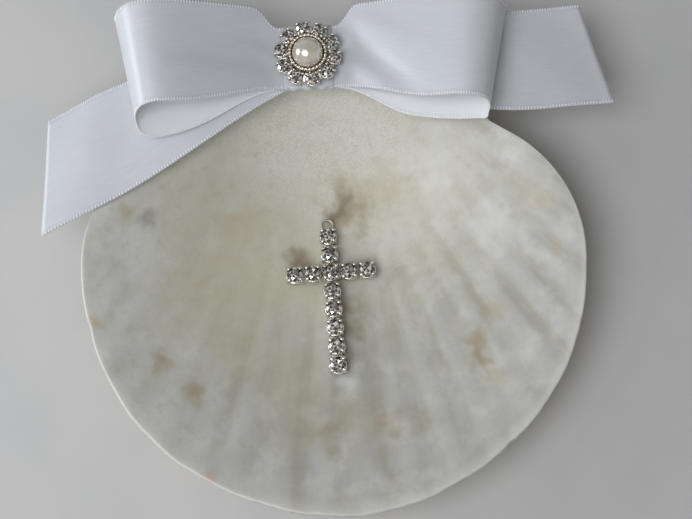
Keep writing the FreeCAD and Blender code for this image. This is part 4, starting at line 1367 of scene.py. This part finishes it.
def make_stone(width):
    """A faceted stone with its girdle at height 0 and a painted reflection tone for each facet."""
    around = 2 * STONE_SIDES
    rings = [ring_points(STONE_SIDES, 0.27, GIRDLE + CROWN),
             ring_points(STONE_SIDES, 0.405, GIRDLE + CROWN * 0.55, 0.5),
             ring_points(around, 0.5, GIRDLE), ring_points(around, 0.5, 0),
             ring_points(STONE_SIDES, 0.22, -0.24, 0.5),
             [(0, 0, GIRDLE + CROWN - 0.05)], [(0, 0, -0.38)]]
    points = [point for ring in rings for point in ring]
    table, kite, upper, lower, deep, centre, tip = np.cumsum([0] + [len(ring) for ring in rings])[:7]
    faces = []
    for index in range(STONE_SIDES):
        following = (index + 1) % STONE_SIDES
        before = (index - 1) % STONE_SIDES
        first, second, third = 2 * index, 2 * index + 1, (2 * index + 2) % around
        faces.append((table + index, table + following, centre))
        faces.append((table + index, kite + index, table + following))
        faces.append((table + index, kite + before, upper + first, kite + index))
        faces.append((kite + index, upper + first, upper + second))
        faces.append((kite + index, upper + second, upper + third))
        faces.append((deep + index, lower + second, lower + first))
        faces.append((deep + index, lower + third, lower + second))
        faces.append((deep + index, lower + first, deep + before))
        faces.append((deep + index, deep + before, tip))
    for index in range(around):
        following = (index + 1) % around
        faces.append((lower + index, lower + following, upper + following, upper + index))
    faces = [tuple(int(corner) for corner in face) for face in faces]
    mesh = make_mesh("stone", np.array(points) * width, faces, smooth=False)
    set_values(mesh, "tone", [(GOLDEN * index) % 1 for index in range(len(faces))], "FACE")
    return mesh


# %% [markdown]
# ## Cups and claws
# Each stone sits in a small turned cup, and four claws are bent over its crown to hold it. A cup
# could be spun with the Screw modifier. Turning a short profile keeps its rings closed. A
# claw is a thin tube along a bent path in the plane of the cup's axis, thicker at the bend and
# tapered at its tip.

# %% Turned profile
def turned(profile, sides):
    """Points and faces of a profile of (radius, height) turned about the axis."""
    points = [point for radius, height in profile for point in ring_points(sides, radius, height)]
    return points, tube_faces(len(profile), sides)


# %% Claw
CLAW_SIDES = 8


def make_claw(width, girdle, angle):
    """A tapered claw that stands at the stone's edge and bends in over its crown."""
    path = [(0.545, 0.35 * girdle, 0.085), (0.56, 0.75 * girdle, 0.085),
            (0.56, girdle + 0.03 * width, 0.085), (0.535, girdle + 0.1 * width, 0.09),
            (0.47, girdle + 0.155 * width, 0.1), (0.41, girdle + 0.175 * width, 0.085),
            (0.375, girdle + 0.165 * width, 0.03)]
    points = []
    ahead = np.gradient(np.array([(out * width, up) for out, up, thick in path]), axis=0)
    for (out, up, thick), (run, climb) in zip(path, ahead):
        length = math.hypot(run, climb)
        for step in range(CLAW_SIDES):
            turn = 2 * math.pi * step / CLAW_SIDES
            across = thick * width * math.cos(turn)
            lift = thick * width * 0.8 * math.sin(turn)
            radial = out * width - lift * climb / length
            points.append((radial * math.cos(angle) - across * math.sin(angle),
                           radial * math.sin(angle) + across * math.cos(angle),
                           up + lift * run / length))
    return points, tube_faces(len(path), CLAW_SIDES)


print("points of a claw:", len(make_claw(1, 0.5, 0)[0]))


# %% Cup with claws
CUP_SIDES = 24


def make_cup(width, height, girdle):
    """One cup with its claws, as a mesh to repeat."""
    profile = [(0.05, 0.05), (0.44, 0.05), (0.5, 0.12), (0.52, 0.6 * height), (0.5, 0.92 * height),
               (0.46, height), (0.42, 0.95 * height), (0.2, 0.35 * height), (0.02, 0.3 * height)]
    wall = turned([(radius * width, up) for radius, up in profile], CUP_SIDES)
    claws = [make_claw(width, girdle, math.radians(45 + 90 * quarter)) for quarter in range(4)]
    return make_mesh("cup", *joined([wall] + claws))


# %% [markdown]
# ## Cross
# Twelve cups in the form of a cross lie in the bowl, tilted with its floor and turned a little, as
# they were glued by hand. The tilt and turn give three axes, and each cell of the cross becomes a
# place. Scattering one cup and one stone over these places keeps all of them alike, as bought
# settings are.

# %% Cross: places
CROSS_TURN = math.radians(1.8)
CROSS_TILT = math.radians(-7.3315)
CROSS_PLACE = np.array([-1.0, -6.8, 4.6883])
CROSS_STEP_X = 4.7
CROSS_STEP_Y = 4.92
CELLS = [(0, row) for row in range(2, -6, -1)] + [(column, 0) for column in (-2, -1, 1, 2)]
cross_x = np.array([math.cos(CROSS_TURN), math.sin(CROSS_TURN), 0])
cross_y = np.array([-math.sin(CROSS_TURN) * math.cos(CROSS_TILT),
                    math.cos(CROSS_TURN) * math.cos(CROSS_TILT), math.sin(CROSS_TILT)])
cross_z = np.cross(cross_x, cross_y)


def cross_point(x, y, z=0.0):
    return CROSS_PLACE + cross_x * x + cross_y * y + cross_z * z


cross_places = [(cross_point(CROSS_STEP_X * column, CROSS_STEP_Y * row), cross_x, cross_z)
                for column, row in CELLS]
print("places on the cross:", len(cross_places))


# %% Cross: cups and stones
def raised(places, height):
    """The same places, further up along their own z directions."""
    return [(point + up * height, across, up) for point, across, up in places]


CROSS_GIRDLE = 2.199
cross_cups = scatter("cross_cups", make_cup(4.5, 1.9, CROSS_GIRDLE), cross_places, bright_plating)
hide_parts("cross_setting")
cross_stones = scatter("cross_stones", make_stone(4.2), raised(cross_places, CROSS_GIRDLE), crystal)
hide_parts(*[f"cross_stone_{index:02d}" for index in range(1, 13)])
print("cross cup faces:", len(cross_cups.data.polygons), "stones:", len(cross_stones.data.polygons))

# %% [markdown]
# Two flat strips behind the cups hold the cross together, and a small wire ring stands at its top,
# as on a pendant. A Bevel modifier could break the strips' edges. Three rings of four corners do
# the same and stay light. The ring is a bent tube, closed on itself.

# %% Cross: strips
STRIP_BEVEL = 0.15


def strip(low, high):
    """A flat bar with bevelled upper edges, in the cross's own axes."""
    (x0, y0, z0), (x1, y1, z1) = low, high
    points = []
    for inset, z in ((0, z0), (0, z1 - STRIP_BEVEL), (STRIP_BEVEL, z1)):
        points += [(x0 + inset, y0 + inset, z), (x1 - inset, y0 + inset, z),
                   (x1 - inset, y1 - inset, z), (x0 + inset, y1 - inset, z)]
    return points, tube_faces(3, 4)


# %% Cross: ring at the top
RING_Y = 13.35
RING_Z = 0.36
RING_OUT = 1.5
RING_WIRE = 0.28
RING_STEPS = 28
WIRE_SIDES = 8


def wire_ring():
    points = []
    for step in range(RING_STEPS):
        turn = 2 * math.pi * step / RING_STEPS
        for side in range(WIRE_SIDES):
            bend = 2 * math.pi * side / WIRE_SIDES
            out = RING_OUT + RING_WIRE * math.cos(bend)
            points.append((out * math.cos(turn), RING_Y + out * math.sin(turn),
                           RING_Z + RING_WIRE * math.sin(bend)))
    faces = grid_faces(RING_STEPS, WIRE_SIDES, closed=True) + ring_joint(RING_STEPS, WIRE_SIDES)
    return points, [face[::-1] for face in faces]


# %% Cross: backing
points, faces = joined([strip((-1.3, -24.6, 0), (1.3, 11.6, 0.6)),
                        strip((-9.4, -1.25, 0.02), (9.4, 1.25, 0.62)), wire_ring()])
points = [cross_point(*point) for point in points]
backing = add_piece("cross_backing", make_mesh("cross_backing", points, faces, smooth=False))
backing.data.materials.append(dull_plating)
print("backing faces:", len(backing.data.polygons))

# %% [markdown]
# ## Pearl button
# The button is a bought trim: ten stones in a ring round a pearl. Its cups and stones are those of
# the cross in a smaller size, so the same helpers make them. Only the places differ: a ring, with
# each cup turned to face outwards.

# %% Button: cups and stones
BUTTON = np.array([-4.3, 46.4, 23.8033])
UP = np.array([0, 0, 1.0])
STONE_RING = 6.7
FIRST_STONE = math.radians(98)
BUTTON_STONES = 10
BUTTON_GIRDLE = 1.956


def ring_places(centre, radius, count, first=0.0):
    """Places round a centre, each facing outwards."""
    turns = [first + 2 * math.pi * index / count for index in range(count)]
    outwards = [np.array([math.cos(turn), math.sin(turn), 0]) for turn in turns]
    return [(centre + outward * radius, outward, UP) for outward in outwards]


button_places = ring_places(BUTTON, STONE_RING, BUTTON_STONES, FIRST_STONE)
button_cups = scatter("button_cups", make_cup(3.7, 1.7, BUTTON_GIRDLE), button_places, bright_plating)
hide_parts("button_setting")
button_stones = scatter("button_stones", make_stone(3.55), raised(button_places, BUTTON_GIRDLE), crystal)
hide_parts(*[f"button_stone_{index:02d}" for index in range(1, 11)])
print("button stones:", len(button_places))

# %% [markdown]
# A stamped plate carries the cups, and a collar in its middle holds the pearl. The plate is turned
# from one profile like a cup, and then its edge is pushed out under each stone, which gives the
# scalloped edge of such trims. The collar's rim is a row of small beads.

# %% Button: plate
PLATE_SIDES = 120
LOBE = 0.05
LOBED_FROM = 7
PLATE_PROFILE = [(0.1, 0), (7.2, 0), (7.6, 0.15), (7.6, 0.7), (7.2, 0.9), (5.1, 0.9), (4.9, 1.2),
                 (4.8, 2.6), (4.65, 2.85), (4.35, 2.85), (4.25, 2.6), (4.25, 0.9), (0.1, 0.85)]


def make_plate():
    ring, faces = turned(PLATE_PROFILE, PLATE_SIDES)
    points = []
    for x, y, z in ring:
        turn = math.atan2(y, x) - FIRST_STONE
        lobed = math.hypot(x, y) > LOBED_FROM
        lobe = 1 + (LOBE * math.cos(BUTTON_STONES * turn) if lobed else 0)
        points.append(BUTTON + np.array([x * lobe, y * lobe, z]))
    piece = add_piece("button_plate", make_mesh("button_plate", points, faces))
    piece.data.materials.append(bright_plating)
    return piece


plate = make_plate()
print("plate faces:", len(plate.data.polygons))

# %% Button: beaded collar
COLLAR_BEADS = 30
COLLAR_RADIUS = 4.5
COLLAR_HEIGHT = 2.9
COLLAR_HALVES = (0.42, 0.42, 0.42)
collar_places = ring_places(BUTTON + UP * COLLAR_HEIGHT, COLLAR_RADIUS, COLLAR_BEADS)
collar = scatter("button_collar", bead(COLLAR_HALVES, 6, 10), collar_places, pale_gold)
print("collar beads:", len(collar_places))

# %% [markdown]
# The pearl is a ball with a flat foot that rests in the collar. A UV sphere would be too perfect:
# even a moulded pearl swells a little here and there, and the reflections show it. So rings from
# the foot to the top are pushed in and out by a few thousandths.

# %% Button: pearl
PEARL_RADIUS = 4
PEARL_LIFT = 2.192
PEARL_FOOT = -20.3
PEARL_RINGS = 40
PEARL_SIDES = 64


def make_pearl():
    points = []
    for tilt in np.radians(np.linspace(PEARL_FOOT, 89, PEARL_RINGS)):
        out = PEARL_RADIUS * math.cos(tilt)
        for x, y, z in ring_points(PEARL_SIDES, out, PEARL_RADIUS * math.sin(tilt)):
            swell = 1 + 0.006 * math.sin(1.3 * x + 0.4) * math.cos(1.1 * y + 0.8 * z)
            points.append(BUTTON + np.array([x * swell, y * swell, z * swell + PEARL_LIFT]))
    faces = tube_faces(PEARL_RINGS, PEARL_SIDES)
    piece = add_piece("pearl_bead", make_mesh("pearl_bead", points, faces))
    piece.data.materials.append(pearl_coat)
    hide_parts("button_pearl")
    return piece


pearl = make_pearl()
print("pearl faces:", len(pearl.data.polygons))

# %% [markdown]
# ## Glue
# Glue beds hold the cross, the bow and the button. They could be modelled as drops, but hardly any
# of them shows, so the CAD solids stay as they are and only get a finish.

# %% Glue
for name in ("cross_glue", "bow_glue", "button_glue"):
    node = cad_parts[name]
    node.data.materials.clear()
    node.data.materials.append(glue)
    print("dressed", name)

# %% [markdown]
# ## Floor
# The shell lies on a plain pale table. One large quad is enough, with a faint mottle so that it
# doesn't look like paper. It is not attached to the body, because it is no part of the object.

# %% Floor
FLOOR_HALF = 900


def make_floor():
    half = FLOOR_HALF
    corners = [(-half, -half, 0), (half, -half, 0), (half, half, 0), (-half, half, 0)]
    mesh = make_mesh("floor", corners, [(0, 1, 2, 3)], smooth=False)
    floor = bpy.data.objects.new("floor", mesh)
    scene.collection.objects.link(floor)
    material, tree, surface = new_material("floor")
    link_surface(tree, surface, mottled(tree, "#b9b9b8", "#bfbebc", 30, 3)["Colour"])
    set_plain(surface, {"Roughness": 0.8})
    mesh.materials.append(material)
    return floor


floor = make_floor()
print("floor faces:", len(floor.data.polygons))

# %% [markdown]
# ## Light
# The photograph has soft daylight from the left and front, so shadows fall softly to the upper
# right. A sun lamp would cut them hard. One wide disk from above gives the soft key, and a second
# low disk to the left, like a window, draws the folds of the satin.

# %% Lamps
def add_light(name, place, aim_at, size, power, colour):
    lamp = bpy.data.lights.new(name, "AREA")
    lamp.shape = "DISK"
    lamp.size = size * MM
    lamp.energy = power
    lamp.color = paint(colour)[:3]
    light = bpy.data.objects.new(name, lamp)
    light.location = Vector(place) * MM
    aim = Vector(aim_at) - Vector(place)
    light.rotation_euler = aim.to_track_quat("-Z", "Y").to_euler()
    scene.collection.objects.link(light)


add_light("key", (-190, -150, 570), (0, 0, 10), 380, 2.05, "#fafbff")
add_light("window", (-430, 70, 135), (-45, 50, 30), 210, 0.9, "#f6f9ff")

# %% [markdown]
# The world fills the shadows: pale on the side of the lamps and brown away from them, like a room.
# Seen directly or in gloss, that brown would look like a dirty wall. Light Path tells such rays
# apart, so the camera and the reflections get a plain pale backdrop.

# %% World
WORLD_STRENGTH = 0.72
BRIGHT_SIDE = (-0.5, -0.45, 0.74)
world = bpy.data.worlds.new("studio")
world.use_nodes = True
sky = world.node_tree
direction = add_node(sky, "ShaderNodeTexCoord").outputs["Generated"]
facing = add_node(sky, "ShaderNodeVectorMath", {0: direction, 1: BRIGHT_SIDE}, operation="DOT_PRODUCT")
tones = mix_colours(sky, ramp(sky, facing.outputs["Value"], -0.3, 1.0), "#4a4137", "#cbcdcf")
path = add_node(sky, "ShaderNodeLightPath").outputs
seen = math_node(sky, "MAXIMUM", path["Is Camera Ray"], path["Is Glossy Ray"])
seen = math_node(sky, "MAXIMUM", seen, path["Is Transmission Ray"])
tones = mix_colours(sky, seen, tones, "#cfcfce")
sky.links.new(tones, sky.nodes["Background"].inputs["Color"])
sky.nodes["Background"].inputs["Strength"].default_value = WORLD_STRENGTH
scene.world = world
print("world nodes:", len(sky.nodes))
